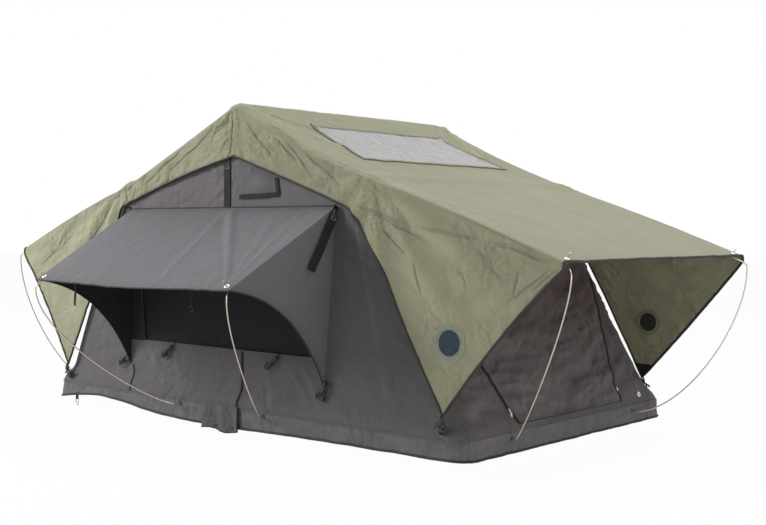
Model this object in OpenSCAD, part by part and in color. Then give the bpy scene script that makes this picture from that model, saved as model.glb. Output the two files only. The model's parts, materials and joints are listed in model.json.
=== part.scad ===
// Fold-out roof top tent, shown open: two hinged base halves, three hoops that fan out
// from one hinge pin, a canvas body, a rain fly and the spring rods that hold it out.
// Millimetres. The origin is the middle of the mounting rails, on their lower face.

/* [Base] */
// Length of one base half, from the hinge line to its end
half_l = 1200; // [1150:5:1400]
// Width of the base panels
base_w = 1394; // [1380:2:1800]
// Thickness of each base panel
panel_t = 40; // [32:1:60]
// Corner radius at the outer ends of the base
corner_r = 70; // [55:1:120]
// Half of the gap between the two halves at the hinge line
hinge_gap = 2; // [1:0.5:5]
// Width of the edge extrusion round each panel
frame_w = 44; // [36:1:52]
// Wall of the edge extrusion
frame_wall = 3; // [2:0.5:5]
// Thickness of each mattress half
mattress_t = 50; // [30:1:54]
// How far the mattress stands back from the panel's edge
mattress_inset = 52; // [40:1:90]
// Rise of the mattress crown above its sewn edge
mattress_crown = 8; // [2:1:15]

/* [Mounting rails] */
// How far the rails' ends stand back from the ends of the fixed half
rail_inset = 50; // [10:5:150]
// Width of each rail
rail_w = 42; // [34:1:60]
// Height of each rail
rail_h = 30; // [24:1:45]
// Wall of each rail
rail_wall = 3; // [2:0.5:4]
// Distance between the two rails
rail_spacing = 700; // [500:10:900]
// Distance between the two bolt slots of a rail
slot_spacing = 800; // [500:10:900]
// End to end length of a bolt slot
slot_l = 80; // [30:1:120]
// Width of a bolt slot
slot_w = 9; // [7:0.5:12]
// Screws that hold each rail to the base
rail_screws = 4; // [2:1:6]

/* [Skirt] */
// Height of the skirt's hem above the underside of the rails
skirt_z = 3; // [1:1:15]
// Thickness of the skirt
skirt_t = 2.5; // [1.5:0.5:4]
// Width of the flap that covers the hinge gap
hinge_flap_w = 226; // [160:2:260]
// How far the hinge flap laps over the folding half
hinge_flap_lap = 56; // [10:2:90]
// How far the hinge flap hangs below the rails
hinge_flap_drop = 33; // [0:1:60]
// Depth of the hinge flap's folds
hinge_flap_fold = 9; // [3:1:14]

/* [Hinge and hoops] */
// Height of the hinge pins above the panels
hinge_rise = 120; // [110:1:150]
// Radius of the hinge pins
pin_r = 6; // [5:0.5:8]
// Thickness of the hinge plates
plate_t = 5; // [4:0.5:8]
// Length of a hinge plate's foot along the panel
plate_l = 110; // [80:1:140]
// Width of a hinge plate's foot
plate_foot = 34; // [24:1:36]
// Radius of the hinge plates and hoop ends round the pin
eye_r = 14; // [12:0.5:16]
// Width of a hoop end on the pin
eye_t = 8; // [6:0.5:10]
// Distance between two hoop ends on the pin
eye_pitch = 29; // [27:0.5:34]
// How far the outermost hoop ends stand in from the side walls
eye_inset = 40; // [33:1:108]
// Diameter of the hoop tube
tube_d = 19; // [14:0.5:20]
// How far the middle of the hoops' tube stands in from the side walls at the top
hoop_inset = 18; // [16:1:28]
// Bend radius of the hoop corners
hoop_bend = 70; // [40:1:150]
// Height of the ridge hoop above the hinge pin
ridge_reach = 1093; // [1000:1:1120]
// Length of the two side hoops from the hinge pin
side_reach = 1068; // [980:1:1100]
// Angle of the side hoops above the base
side_angle = 46.9; // [40:0.1:52]

/* [Canvas] */
// Thickness of the canvas
canvas_t = 1.5; // [1:0.1:3]
// How far the side walls stand in from the sides of the base
wall_inset = 29; // [21:1:33]
// How far the end walls' feet stand back from the end of the base
foot_inset = 14; // [8:1:40]
// Centre of the side window, from the hinge line
window_x = -65; // [-120:5:40]
// Half the width of the window at its top
window_top = 600; // [450:5:610]
// Half the width of the window at its sill
window_low = 536; // [420:2:560]
// Height of the window's sill
sill_z = 300; // [250:5:400]
// Height of the seam where the awning starts
seam_z = 880; // [820:5:900]
// Width of the webbing straps
strap_w = 26; // [18:1:40]

/* [Awning] */
// How far the window awning stands out from the wall
awning_out = 482; // [350:2:560]
// How far the awning falls from its seam
awning_drop = 302; // [200:2:380]
// Half the width of the awning at its seam
awning_top = 630; // [500:5:640]
// Half the width of the awning at its front edge
awning_front = 605; // [430:1:640]
// How far the middle of the front edge is set off from the window's middle
awning_shift = -37; // [-60:1:60]
// Height of the gussets' feet on the wall
gusset_z = 185; // [150:5:320]
// Sag of the awning between its rods
awning_sag = 22; // [5:1:40]

/* [Rain fly] */
// Thickness of the fly
fly_t = 1.5; // [1:0.1:3]
// How far the sides of the fly stand out from the side walls
fly_side = 6; // [4:0.5:22]
// How far the fly reaches beyond the end of the base
fly_over = 368; // [250:2:450]
// Height of the fly's end corners
fly_end_z = 693; // [560:1:800]
// Sag of the fly beyond the side hoops
fly_sag = 16; // [0:1:40]
// Height of the valance under the ridge
valance_z = 1080; // [1000:5:1150]
// Where the valance turns down into the side flaps, from the hinge line
valance_x = 705; // [700:1:730]
// Height of that turn
valance_low = 885; // [840:5:920]
// How far the flaps' tips stand back from the end of the base, on the folding half
tip_inset = 96; // [70:2:200]
// The same on the fixed half
fixed_tip_inset = 70; // [70:2:200]
// Height of the flaps' tips
tip_z = 152; // [120:2:260]
// How far the flaps' tips stand out from the skirt
tip_out = 3; // [1:0.5:20]
// Depth of the folds in the side flaps
flap_fold = 12; // [0:1:20]
// Number of folds in each side flap
flap_folds = 5; // [2:1:8]
// Distance of the skylight's upper edge from the ridge, along the roof
sky_top = 202; // [120:2:300]
// Length of the skylight down the roof
sky_l = 376; // [200:2:450]
// Half the width of the skylight at its upper edge
sky_half = 420; // [250:5:500]
// How much wider each side is at its lower edge
sky_flare = 55; // [0:1:90]

/* [Door and zips] */
// Half the width of the end door at its sill
door_low = 366; // [300:2:420]
// Half the width of the end door at its widest
door_wide = 556; // [460:2:580]
// Length of the door's straight sides, up the wall
door_side = 620; // [480:5:680]
// Corner radius at the top of the door
door_r = 120; // [60:2:160]
// Width of a zip
zip_w = 8; // [6:0.5:12]

/* [Spring rods] */
// Diameter of the spring rods
rod_d = 7; // [5:0.5:8]
// Depth of the rods in their sockets
rod_peg = 30; // [20:1:34]
// Half the distance between the feet of the two rods at the folding end
door_rod_y = 430; // [380:2:450]
// Half the distance between the feet of the two rods at the fixed end
fixed_rod_y = 540; // [510:2:580]
// Foot of the window rod on the folding half, from the hinge line
door_rod_x = 200; // [150:2:260]
// Foot of the window rod on the fixed half, from the hinge line
fixed_rod_x = 315; // [290:2:380]
// Distance of an eyelet from the edge of its cloth
eyelet_in = 20; // [15:1:24]
// Distance of the folding end's eyelets from the sides of the fly
flip_eye_in = 50; // [46:1:80]
// Outer radius of an eyelet
eyelet_r = 11; // [9:0.5:14]

/* [Hidden] */
$fn = 48;

// Clearances: between cloth and its seat, round a running pin, and round a fitted insert
seat = 0.3;
running = 0.05;
fitted = 0.2;
// Room between a hoop and the canvas, and between the canvas and the fly
canvas_gap = 3.2;
fly_gap = 2.5;

hinge_x = half_l / 2;
rail_l = half_l - 2 * rail_inset;
// Widths, from the base in to the hoops: each takes its place from the one before
wall_half = base_w / 2 - wall_inset;
fly_half = wall_half + fly_side;
hoop_half = wall_half - hoop_inset;
eye_half = wall_half - eye_inset;
panel_top = rail_h + panel_t;
hinge_z = panel_top + hinge_rise;
tube_r = tube_d / 2;
rod_r = rod_d / 2;
skirt_out = seat + skirt_t;
skirt_half = base_w / 2 + skirt_out;
cloth_z = panel_top + seat;
foot_x = half_l - foot_inset;
board_t = panel_t - 2 * (frame_wall + fitted);

// Hoop ends and hinge plates along the pin, from the outside in
ridge_eye = eye_half;
left_eye = eye_half - eye_pitch;
right_eye = eye_half - 2 * eye_pitch;
fixed_plate = eye_half - eye_pitch / 2;
flip_plate = eye_half - 1.5 * eye_pitch;
neck_start = eye_r - 1.5;
neck_l = 20;
neck_end = eye_r + neck_l;
elbow_wall = 1.5;
elbow_lap = 3;
spacer_r = pin_r + 4;
spacer_l = (eye_pitch - eye_t - plate_t) / 2 - 2 * fitted;
pin_head = 4;
notch_room = 26;
notch_l = plate_l + notch_room;
notch_y = right_eye - plate_foot;

// A point of the hoops' fan, in the plane of a side wall: x from the hinge line, then height
function fan(r, a) = [r * cos(a), hinge_z + r * sin(a)];
function kink(lift) = fan(side_reach + tube_r + lift, side_angle);
function ridge(lift) = fan(ridge_reach + tube_r + lift, 90);
function flip_x(p) = [-p[0], p[1]];
function unit(v) = v / norm(v);
function mix(a, b, t) = a + (b - a) * t;

// Canvas outline: its inner face, lowered or raised by lift
function canvas_foot(lift) = [foot_x + lift, cloth_z];
wall_lift = canvas_gap - seat;
end_dir = unit(kink(canvas_gap) - canvas_foot(0));
end_out = [end_dir[1], -end_dir[0]];

// Fly outline
fly_lift = canvas_gap + canvas_t + fly_gap;
fly_x = half_l + fly_over;
fly_kink = kink(fly_lift + fly_t);
fly_ridge = ridge(fly_lift + fly_t);
fly_pitch = atan2(fly_ridge[1] - fly_kink[1], fly_kink[0]);
function tip_x(x) = half_l - (x < 0 ? fixed_tip_inset : tip_inset);
tip_y = skirt_half + tip_out;
flap_end = 24;
function arch(t) = 4 * t * (1 - t);
function over_roof(x) = mix(fly_ridge[1], fly_kink[1], x / fly_kink[0]);
function over_end(t) = mix(fly_kink[1], fly_end_z, t) - fly_sag * arch(t);
function fly_top(x) =
  abs(x) < fly_kink[0] ? over_roof(abs(x)) : over_end((abs(x) - fly_kink[0]) / (fly_x - fly_kink[0]));
// Lower edge of the side flaps: valance, inner edge and outer edge
inner_bow = 28;
outer_bow = 26;
function inner_edge(t) = mix(valance_low, tip_z, t) + inner_bow * arch(t);
function outer_edge(t) = mix(tip_z, fly_end_z - flap_end, t) + outer_bow * arch(t);
function flap_low(x) =
  abs(x) < valance_x ? mix(valance_z, valance_low, abs(x) / valance_x) :
  abs(x) < tip_x(x) ? inner_edge((abs(x) - valance_x) / (tip_x(x) - valance_x)) :
  outer_edge((abs(x) - tip_x(x)) / (fly_x - tip_x(x)));

// Points across one half of the fly, shared by its roof and flaps
function steps(a, b, n) = [for (k = [0 : n - 1]) mix(a, b, k / n)];
function half_xs(tip) = concat(
  steps(0, valance_x, 4), steps(valance_x, fly_kink[0], 2), steps(fly_kink[0], tip, 10),
  steps(tip, fly_x, 10), [fly_x]);
fixed_xs = half_xs(tip_x(-1));
fly_xs = concat([for (k = [len(fixed_xs) - 1 : -1 : 1]) -fixed_xs[k]], half_xs(tip_x(1)));

// Awning corners: seam, front edge and gusset foot
wall_out = wall_half + seat;
awning_y = wall_out + awning_out;
awning_z = seam_z - awning_drop;
awning_slope = atan2(awning_drop, awning_out);

// Rod feet and sockets
socket_z = rail_h + panel_t / 2;
socket_r = rod_r + 3;
socket_l = rod_peg + 6;
flange_r = rod_r + 7;
flange_t = 3;
bore_over = 10;
rod_stub = 16;
// Spring of the rods: reach of the bend at the foot and at the eyelet
foot_spring = 200;
neck_spring = 250;
slight_bow = 0.1;
window_bow = 0.85;
full_bow = 1;
neck_out = 46;
neck_splay = 0.35;
neck_drop = 58;
neck_turn = [30, 26];
rod_tip = 22;
tip_lean = 6;
eyelet_t = 1;
eyelet_hole = rod_r + 2 * seat;

// Colours as the photograph shows them
alloy = "#b9bcbf";
skin = "#d9dadb";
canvas = "#6a676b";
awning_grey = "#85838a";
fly_green = "#a2a286";
clear = "#c8c6c4";
black = "#1d1d1f";
steel = "#a39d92";

// Placing
module from_hinge() { translate([hinge_x, 0, 0]) children(); }
module flip_half() { from_hinge() children(); }
module fixed_half() { from_hinge() mirror([1, 0, 0]) children(); }
module both_sides() {
  children();
  mirror([0, 1, 0]) children();
}
// Turns a drawing of length and height upright, facing the near side, t thick from y inwards
module upright(y, t) { translate([0, y + t, 0]) rotate([90, 0, 0]) linear_extrude(t) children(); }
// A round bar between two points
module bar(a, b, r) {
  d = b - a;
  translate(a) rotate([0, acos(d[2] / norm(d)), atan2(d[1], d[0])]) cylinder(h = norm(d), r = r);
}
// A drawing laid on the plane through three points, thickened away from it
module on_plane(a, b, c, t) {
  u = unit(b - a);
  w = unit(cross(u, c - a));
  v = cross(w, u);
  multmatrix([[u[0], v[0], w[0], a[0]], [u[1], v[1], w[1], a[1]], [u[2], v[2], w[2], a[2]], [0, 0, 0, 1]])
    linear_extrude(t) children();
}
function in_plane(a, b, p) = let (u = unit(b - a), d = p - a) [d * u, norm(d - (d * u) * u)];

// Cloth from a grid of points, thickened along one direction
module cloth(rows, thick) {
  n = len(rows);
  m = len(rows[0]);
  top = [for (row = rows) each row];
  rim = concat(
    [for (j = [m - 1 : -1 : 1]) j], [for (i = [0 : n - 2]) i * m],
    [for (j = [0 : m - 2]) (n - 1) * m + j], [for (i = [n - 1 : -1 : 1]) i * m + m - 1]);
  cells = [for (i = [0 : n - 2]) for (j = [0 : m - 2]) i * m + j];
  polyhedron(
    concat(top, [for (p = top) p + thick]),
    concat(
      [for (c = cells) each [[c, c + 1, c + m + 1], [c, c + m + 1, c + m]]],
      [for (c = cells) let (d = c + n * m) each [[d, d + m + 1, d + 1], [d, d + m, d + m + 1]]],
      [for (k = [0 : len(rim) - 1])
        let (p = rim[k], q = rim[(k + 1) % len(rim)]) each [[p, q, q + n * m], [p, q + n * m, p + n * m]]]));
}

// A round rod swept along points, with rings square to a reference direction
module swept(points, r, ref, sides = 8) {
  n = len(points);
  rings = [for (k = [0 : n - 1])
    let (
      t = unit(points[min(k + 1, n - 1)] - points[max(k - 1, 0)]),
      u = unit(cross(ref, t)),
      v = cross(t, u))
    each [for (s = [0 : sides - 1]) points[k] + r * (u * cos(360 * s / sides) + v * sin(360 * s / sides))]];
  polyhedron(
    rings,
    concat(
      [for (k = [0 : n - 2]) for (s = [0 : sides - 1])
        let (a = k * sides + s, b = k * sides + (s + 1) % sides)
        each [[a, a + sides, b + sides], [a, b + sides, b]]],
      [for (s = [1 : sides - 2]) [0, s, s + 1]],
      [for (s = [1 : sides - 2]) let (e = (n - 1) * sides) [e, e + s + 1, e + s]]));
}

// Base halves, drawn for the folding half
module outline(grow) {
  start = hinge_gap + max(0, -grow);
  x = half_l + grow;
  w = base_w / 2 + grow;
  r = corner_r + grow;
  translate([start, -w]) square([x - r - start, 2 * w]);
  translate([start, r - w]) square([x - start, 2 * (w - r)]);
  for (s = [-1, 1]) translate([x - r, s * (w - r)]) circle(r);
}
module slab(grow, z, h) { translate([0, 0, z]) linear_extrude(h) outline(grow); }

// Sandwich board, rebated so that the edge extrusion lies flush with its faces
module board(feet, foot_y) {
  difference() {
    union() {
      slab(-frame_w - fitted, rail_h, panel_t);
      slab(-frame_wall - fitted, rail_h + frame_wall + fitted, board_t);
    }
    socket_holes(feet, foot_y, socket_r + fitted);
  }
}
module frame(feet, foot_y) {
  difference() {
    slab(0, rail_h, panel_t);
    slab(-frame_w, rail_h - 1, panel_t + 2);
    slab(-frame_wall, rail_h + frame_wall, board_t + 2 * fitted);
    socket_holes(feet, foot_y, socket_r + fitted);
  }
}

// Mattress with a crowned top, notched round the hinge
module mattress() {
  edge = mattress_t - mattress_crown;
  w = base_w / 2 - mattress_inset;
  xs = [for (k = [0 : 8]) mix(hinge_gap + seat, half_l - mattress_inset - corner_r, k / 8)];
  ys = [for (k = [0 : 8]) mix(-w, w, k / 8)];
  mid = (xs[0] + xs[8]) / 2;
  reach = (xs[8] - xs[0]) / 2;
  difference() {
    translate([0, 0, cloth_z]) {
      translate([xs[0], -w, 0]) cube([xs[8] - xs[0], 2 * w, edge]);
      cloth(
        [for (x = xs) [for (y = ys)
          [x, y, edge + mattress_crown * (1 - pow((x - mid) / reach, 4)) * (1 - pow(y / w, 4))]]],
        [0, 0, -edge / 2]);
    }
    both_sides() translate([0, notch_y, panel_top]) cube([notch_l, w, mattress_t * 2]);
  }
}

module skirt(feet, foot_y) {
  difference() {
    union() {
      difference() {
        slab(skirt_out, skirt_z, cloth_z - skirt_z);
        slab(seat, skirt_z - 1, cloth_z - skirt_z + 2);
      }
      difference() {
        slab(skirt_out, cloth_z, skirt_t);
        translate([0, -wall_out, cloth_z - 1]) cube([foot_x + canvas_t * 2 + seat, 2 * wall_out, skirt_t + 2]);
      }
    }
    socket_holes(feet, foot_y, socket_r + fitted);
  }
}

// Flap that hangs over the hinge gap, with soft upright folds
module hinge_flap() {
  folds = 3;
  xs = [for (k = [0 : 18]) k / 18];
  zs = [for (k = [0 : 3]) k / 3];
  flap_y = skirt_half + seat + canvas_t;
  cloth(
    [for (u = xs) [for (v = zs)
      [mix(hinge_flap_lap - hinge_flap_w, hinge_flap_lap, u),
       -flap_y - hinge_flap_fold * (1 - v) * pow(sin(180 * folds * u), 2),
       mix(-hinge_flap_drop, cloth_z + skirt_t, v)]]],
    [0, canvas_t, 0]);
}

// Upright hinge plate with a foot on the panel; foot_side is +1 for a foot that points outwards
module hinge_plate(y, foot_side) {
  d = [plate_l, -hinge_rise];
  tangent = atan2(d[1], d[0]) + acos(eye_r / norm(d));
  inner = [hinge_gap + 6, panel_top];
  both_sides() difference() {
    union() {
      upright(-y - plate_t / 2, plate_t) {
        translate([0, hinge_z]) circle(eye_r);
        polygon([
          inner, [plate_l, panel_top], [0, hinge_z] + eye_r * [cos(tangent), sin(tangent)], [0, hinge_z],
          [-eye_r, hinge_z], [-eye_r, hinge_z - eye_r]]);
      }
      translate([inner[0], -y - plate_t / 2 - (foot_side > 0 ? plate_foot - plate_t : 0), panel_top])
        cube([plate_l - inner[0], plate_foot, plate_t]);
    }
    pin_bore(y, plate_t);
  }
}
module pin_bore(y, t) {
  translate([0, -y, hinge_z]) rotate([90, 0, 0]) cylinder(h = t * 2, r = pin_r + running, center = true);
}

// Hoops, drawn upright in the plane of the hinge pin, then turned to their angle
function leg_angle(reach, eye) =
  let (c = [hoop_half - hoop_bend - eye, reach - hoop_bend]) atan2(c[1], c[0]) - asin(hoop_bend / norm(c));
module fan_out(a) { translate([0, 0, hinge_z]) rotate([0, 90 - a, 0]) children(); }
module leg_part(eye, a, from, to) {
  translate([0, eye, 0]) rotate([a - 90, 0, 0]) translate([0, 0, from]) cylinder(h = to - from, r = tube_r);
}
// Straight tubes that run a little way into thicker pressed elbows
module hoop(reach, eye, angle) {
  a = leg_angle(reach, eye);
  c = [hoop_half - hoop_bend, reach - hoop_bend];
  leg = sqrt(pow(norm(c - [eye, 0]), 2) - pow(hoop_bend, 2));
  fan_out(angle) {
    both_sides() {
      leg_part(eye, a, neck_end, leg + elbow_lap);
      translate([0, c[0], c[1]]) rotate([90, 0, 90]) rotate([0, 0, a - 90])
        rotate_extrude(angle = 180 - a) translate([hoop_bend, 0]) circle(tube_r + elbow_wall);
    }
    translate([0, 0, reach]) rotate([90, 0, 0])
      cylinder(h = 2 * (c[0] + elbow_lap), r = tube_r, center = true);
  }
}
module hoop_ends(reach, eye, angle) {
  fan_out(angle) both_sides() difference() {
    union() {
      translate([0, eye, 0]) rotate([90, 0, 0]) cylinder(h = eye_t, r = eye_r, center = true);
      leg_part(eye, leg_angle(reach, eye), neck_start, neck_end);
    }
    translate([0, eye, 0]) rotate([90, 0, 0]) cylinder(h = eye_t * 2, r = pin_r + running, center = true);
  }
}

// Canvas walls
module gable() {
  polygon([
    canvas_foot(-seat), kink(wall_lift), ridge(wall_lift), flip_x(kink(wall_lift)),
    flip_x(canvas_foot(-seat))]);
}
window_seam = 14;
module window_outline(grow) {
  translate([window_x, 0]) polygon([
    [-window_low - grow, sill_z - grow], [window_low + grow, sill_z - grow],
    [window_top + grow, seam_z - seat + min(grow, 0)], [-window_top - grow, seam_z - seat + min(grow, 0)]]);
}
module side_panel(y, t, out) { upright(out ? -y - t : -y, t) children(); }

// An end wall lies between its foot and the side hoop; drawings on it run across, then up the wall
module end_wall() {
  top = kink(canvas_gap) - seat * end_dir;
  low = canvas_foot(0);
  translate([0, wall_half, 0]) rotate([90, 0, 0]) linear_extrude(2 * wall_half)
    polygon([low, low + canvas_t * end_out, top + canvas_t * end_out, top]);
}
module on_end_wall(lift) {
  low = canvas_foot(0) + (canvas_t + lift) * end_out;
  multmatrix([
    [0, end_dir[0], end_out[0], low[0]], [1, 0, 0, 0], [0, end_dir[1], end_out[1], low[1]], [0, 0, 0, 1]])
    children();
}
door_sill = 26;
door_lean = atan2(door_wide - door_low, door_side);
module door_outline() {
  c = [door_wide - door_r, door_sill + door_side];
  polygon(concat(
    [[-door_low, door_sill], [door_low, door_sill]],
    [for (k = [0 : 8]) c + door_r * [cos(90 * k / 8), sin(90 * k / 8)]],
    [for (k = [8 : -1 : 0]) [-c[0], c[1]] + door_r * [-cos(90 * k / 8), sin(90 * k / 8)]]));
}
// Along one side of the door; children start at the sill and run up the zip
module along_zip(side) {
  translate([side * (door_low + zip_w / 2 + seat + 1), door_sill, 0]) rotate([0, 0, -side * door_lean])
    children();
}
// Slider with a bridge over its body, and a pull that lies up the zip
slider_start = 20;
slider_body = [zip_w + 6, 18, 5];
slider_pull = [6, 34, 2];
bridge_r = 2.5;
module door_slider(side) {
  from_hinge() on_end_wall(seat + canvas_t + seat) along_zip(side) translate([0, slider_start, 0]) {
    translate([-slider_body[0] / 2, 0, 0]) cube(slider_body);
    translate([0, bridge_r, slider_body[2]]) rotate([0, 90, 0])
      cylinder(h = slider_pull[0], r = bridge_r, center = true);
    translate([-slider_pull[0] / 2, bridge_r, slider_body[2]]) cube(slider_pull);
  }
}

// Rain fly
module fly_sheet() {
  ys = [for (k = [-4 : 4]) k / 4 * fly_half];
  cloth([for (x = fly_xs) [for (y = ys) [x, y, fly_top(x)]]], [0, 0, -fly_t]);
}
sky_seam = 12;
// Length of a cut that goes right through a sheet
cut_h = 40;
module sky_outline(grow) {
  polygon([
    [sky_top - grow, -sky_half - grow], [sky_top - grow, sky_half + grow],
    [sky_top + sky_l + grow, sky_half + sky_flare + grow],
    [sky_top + sky_l + grow, -sky_half - sky_flare - grow]]);
}
module on_roof(lift) {
  translate([0, 0, fly_ridge[1]]) rotate([0, fly_pitch, 0]) translate([0, 0, lift]) children();
}
// Eyelet places: corners of the fly, and of the awning
fly_slope = atan2(fly_top(fly_x - 2 * eyelet_in) - fly_top(fly_x), 2 * eyelet_in);
fixed_eye_y = fly_half - eyelet_in;
flip_eye_y = fly_half - flip_eye_in;
function fly_eye(y) = [fly_x - eyelet_in, y, fly_top(fly_x - eyelet_in)];
module at_fly_eyes() {
  for (s = [-1, 1]) {
    flip_half() translate(fly_eye(s * flip_eye_y)) rotate([0, fly_slope, 0]) children();
    fixed_half() translate(fly_eye(s * fixed_eye_y)) rotate([0, fly_slope, 0]) children();
  }
}
// Outward push of a flap: soft folds towards its lower edge, and the pull of the hold-down at its tip
function flap_fall(x, v) = (1 - v) * (fly_top(x) - flap_low(x)) / (fly_top(tip_x(x)) - tip_z);
function flap_wave(x, v) =
  let (t = (abs(x) - fly_kink[0]) / (fly_x - fly_kink[0]))
  t < 0 ? 0 : flap_fold * pow(sin(180 * flap_folds * t), 2) * flap_fall(x, v);
tip_pull = tip_y - fly_half - seat - fly_t;
function flap_push(x, v) = abs(x) < fly_kink[0] ? 0 : tip_pull * flap_fall(x, v) + flap_wave(x, v) * v * 3;
module fly_flap() {
  vs = [for (k = [0 : 5]) k / 5];
  cloth(
    [for (x = fly_xs) [for (v = vs)
      [x, -fly_half - seat - fly_t - flap_push(x, v), mix(flap_low(x), fly_top(x), v)]]],
    [0, fly_t, 0]);
}

// Window awning: u runs across it, v from its front edge up to the seam; it is drawn flat at its corners
function awning_point(u, v) =
  let (half = mix(awning_front, awning_top, v), slack = awning_sag * pow(cos(90 * u), 2))
  [window_x + mix(awning_shift, 0, v) + u * half, -mix(awning_y, wall_out, v),
    mix(awning_z, seam_z, v) - slack * (arch(v) + 1 - v)];
function awning_eye(side) =
  awning_point(side * (1 - 1.6 * eyelet_in / awning_front), eyelet_in / awning_out);
module at_awning_eyes() {
  for (s = [-1, 1]) translate(awning_eye(s)) rotate([awning_slope, 0, 0]) children();
}
// Gusset between the awning's edge and the wall, with an arched free edge; drawn for the right side
gusset_arch = 0.34;
module gusset(shift) {
  top = [awning_top + seat, -wall_out, seam_z];
  front = [awning_front + shift + seat, -awning_y, awning_z];
  foot = [awning_front + shift, -wall_out, gusset_z];
  b = in_plane(top, front, front);
  c = in_plane(top, front, foot);
  pull = gusset_arch * (b + c);
  on_plane(top, front, foot, canvas_t) polygon(concat(
    [[0, 0]], [for (k = [0 : 10]) let (t = k / 10) pow(1 - t, 2) * b + 2 * t * (1 - t) * pull + t * t * c]));
}

// Spring rods: a peg in the socket, a bowed shaft, a neck and a tip through the eyelet
function bezier(a, b, c, d, n) = [for (k = [0 : n]) let (t = k / n)
  pow(1 - t, 3) * a + 3 * t * pow(1 - t, 2) * b + 3 * t * t * (1 - t) * c + pow(t, 3) * d];
function rod_path(foot, out, eye, up, away, bow) =
  let (
    elbow = foot + rod_stub * out,
    neck = eye + neck_out * away - neck_drop * up)
  concat(
    [foot - rod_peg * out, foot],
    bezier(elbow, elbow + foot_spring * bow * out, neck - neck_spring * (1 + bow) / 2 * [0, 0, 1], neck, 14),
    [for (p = bezier(neck, neck + neck_turn[0] * [0, 0, 1], eye - neck_turn[1] * up, eye, 5))
      if (p != neck) p],
    [eye + tip_lean * up, eye + rod_tip * up + tip_lean * away]);
module fly_rod(foot_y, eye_y, side, bow) {
  up = [sin(fly_slope), 0, cos(fly_slope)];
  foot = [half_l + skirt_out, side * foot_y, socket_z];
  eye = fly_eye(side * eye_y) - fly_t / 2 * up;
  swept(rod_path(foot, [1, 0, 0], eye, up, unit([1, side * neck_splay, 0]), bow), rod_r, [0, 1, 0]);
}
module window_rod(foot_x, side, bow) {
  up = [0, -sin(awning_slope), cos(awning_slope)];
  foot = [side * foot_x, -skirt_half, socket_z];
  eye = awning_eye(side) - canvas_t / 2 * up;
  swept(rod_path(foot, [0, -1, 0], eye, up, unit([side * neck_splay, -1, 0]), bow), rod_r, [1, 0, 0]);
}
// Sockets of one half: two at its end and one on the near side
module at_sockets(feet, foot_y) {
  for (s = [-1, 1]) translate([half_l + skirt_out, s * foot_y, socket_z]) rotate([0, 90, 0]) children();
  translate([feet, -skirt_half, socket_z]) rotate([90, 0, 0]) children();
}
module socket_holes(feet, foot_y, r) {
  at_sockets(feet, foot_y) translate([0, 0, -socket_l - fitted]) cylinder(h = socket_l + bore_over, r = r);
}
module sockets(feet, foot_y) {
  at_sockets(feet, foot_y) difference() {
    union() {
      translate([0, 0, -socket_l]) cylinder(h = socket_l, r = socket_r);
      cylinder(h = flange_t, r = flange_r);
    }
    translate([0, 0, -rod_peg - fitted]) cylinder(h = rod_peg + bore_over, r = rod_r + running);
  }
}

// Elastic hold-downs from the flaps' tips to the skirt
hold_plate = [26, 4, 30];
hold_r = 2;
module hold_downs(place) {
  plate_y = skirt_half + seat + hold_plate[1];
  both_sides() translate([place, 0, 0]) {
    translate([-hold_plate[0] / 2, -plate_y, socket_z - hold_plate[2] / 2]) cube(hold_plate);
    bar(
      [0, hold_plate[1] / 2 - plate_y, socket_z],
      [0, fly_t / 2 - tip_y, tip_z - 2 * hold_r], hold_r);
  }
}

// Box rail with two bolt slots in its lower wall
module rail() {
  difference() {
    translate([-rail_l / 2, -rail_w / 2, 0]) cube([rail_l, rail_w, rail_h]);
    translate([-rail_l / 2 - 1, rail_wall - rail_w / 2, rail_wall])
      cube([rail_l + 2, rail_w - 2 * rail_wall, rail_h - 2 * rail_wall]);
    for (e = [-1, 1]) translate([e * slot_spacing / 2, 0, -1]) {
      for (c = [-1, 1]) translate([c * (slot_l - slot_w) / 2, 0, 0])
        cylinder(h = rail_wall + 2, r = slot_w / 2);
      translate([(slot_w - slot_l) / 2, -slot_w / 2, 0]) cube([slot_l - slot_w, slot_w, rail_wall + 2]);
    }
  }
}
screw_r = 3;
screw_l = 18;
screw_head = 3;
screw_end = 40;
module at_rail_screws() {
  for (s = [-1, 1]) for (k = [0 : rail_screws - 1])
    translate([mix(-1, 1, k / (rail_screws - 1)) * (rail_l / 2 - screw_end), s * rail_spacing / 2, rail_h])
      children();
}

// Sub-parts
module mounting_rails() {
  color(alloy) difference() {
    for (s = [-1, 1]) translate([0, s * rail_spacing / 2, 0]) rail();
    at_rail_screws() cylinder(h = 2 * (rail_wall + 1), r = screw_r + fitted, center = true);
  }
}
module rail_screws() {
  color(steel) at_rail_screws() {
    translate([0, 0, -rail_wall - screw_head]) cylinder(h = screw_head, r = screw_r * 1.8);
    translate([0, 0, -rail_wall - 1]) cylinder(h = rail_wall + 1 + screw_l, r = screw_r);
  }
}
module fixed_board() {
  color(skin) difference() {
    fixed_half() board(fixed_rod_x, fixed_rod_y);
    at_rail_screws() cylinder(h = 2 * (screw_l + fitted), r = screw_r + fitted, center = true);
  }
}
module fixed_frame() { color(alloy) fixed_half() frame(fixed_rod_x, fixed_rod_y); }
module fixed_mattress() { color(awning_grey) fixed_half() mattress(); }
module fixed_skirt() { color(canvas) fixed_half() skirt(fixed_rod_x, fixed_rod_y); }
module near_hinge_flap() { color(canvas) from_hinge() hinge_flap(); }
module far_hinge_flap() { color(canvas) from_hinge() mirror([0, 1, 0]) hinge_flap(); }
module fixed_hinge_plates() { color(alloy) fixed_half() hinge_plate(fixed_plate, 1); }
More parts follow.
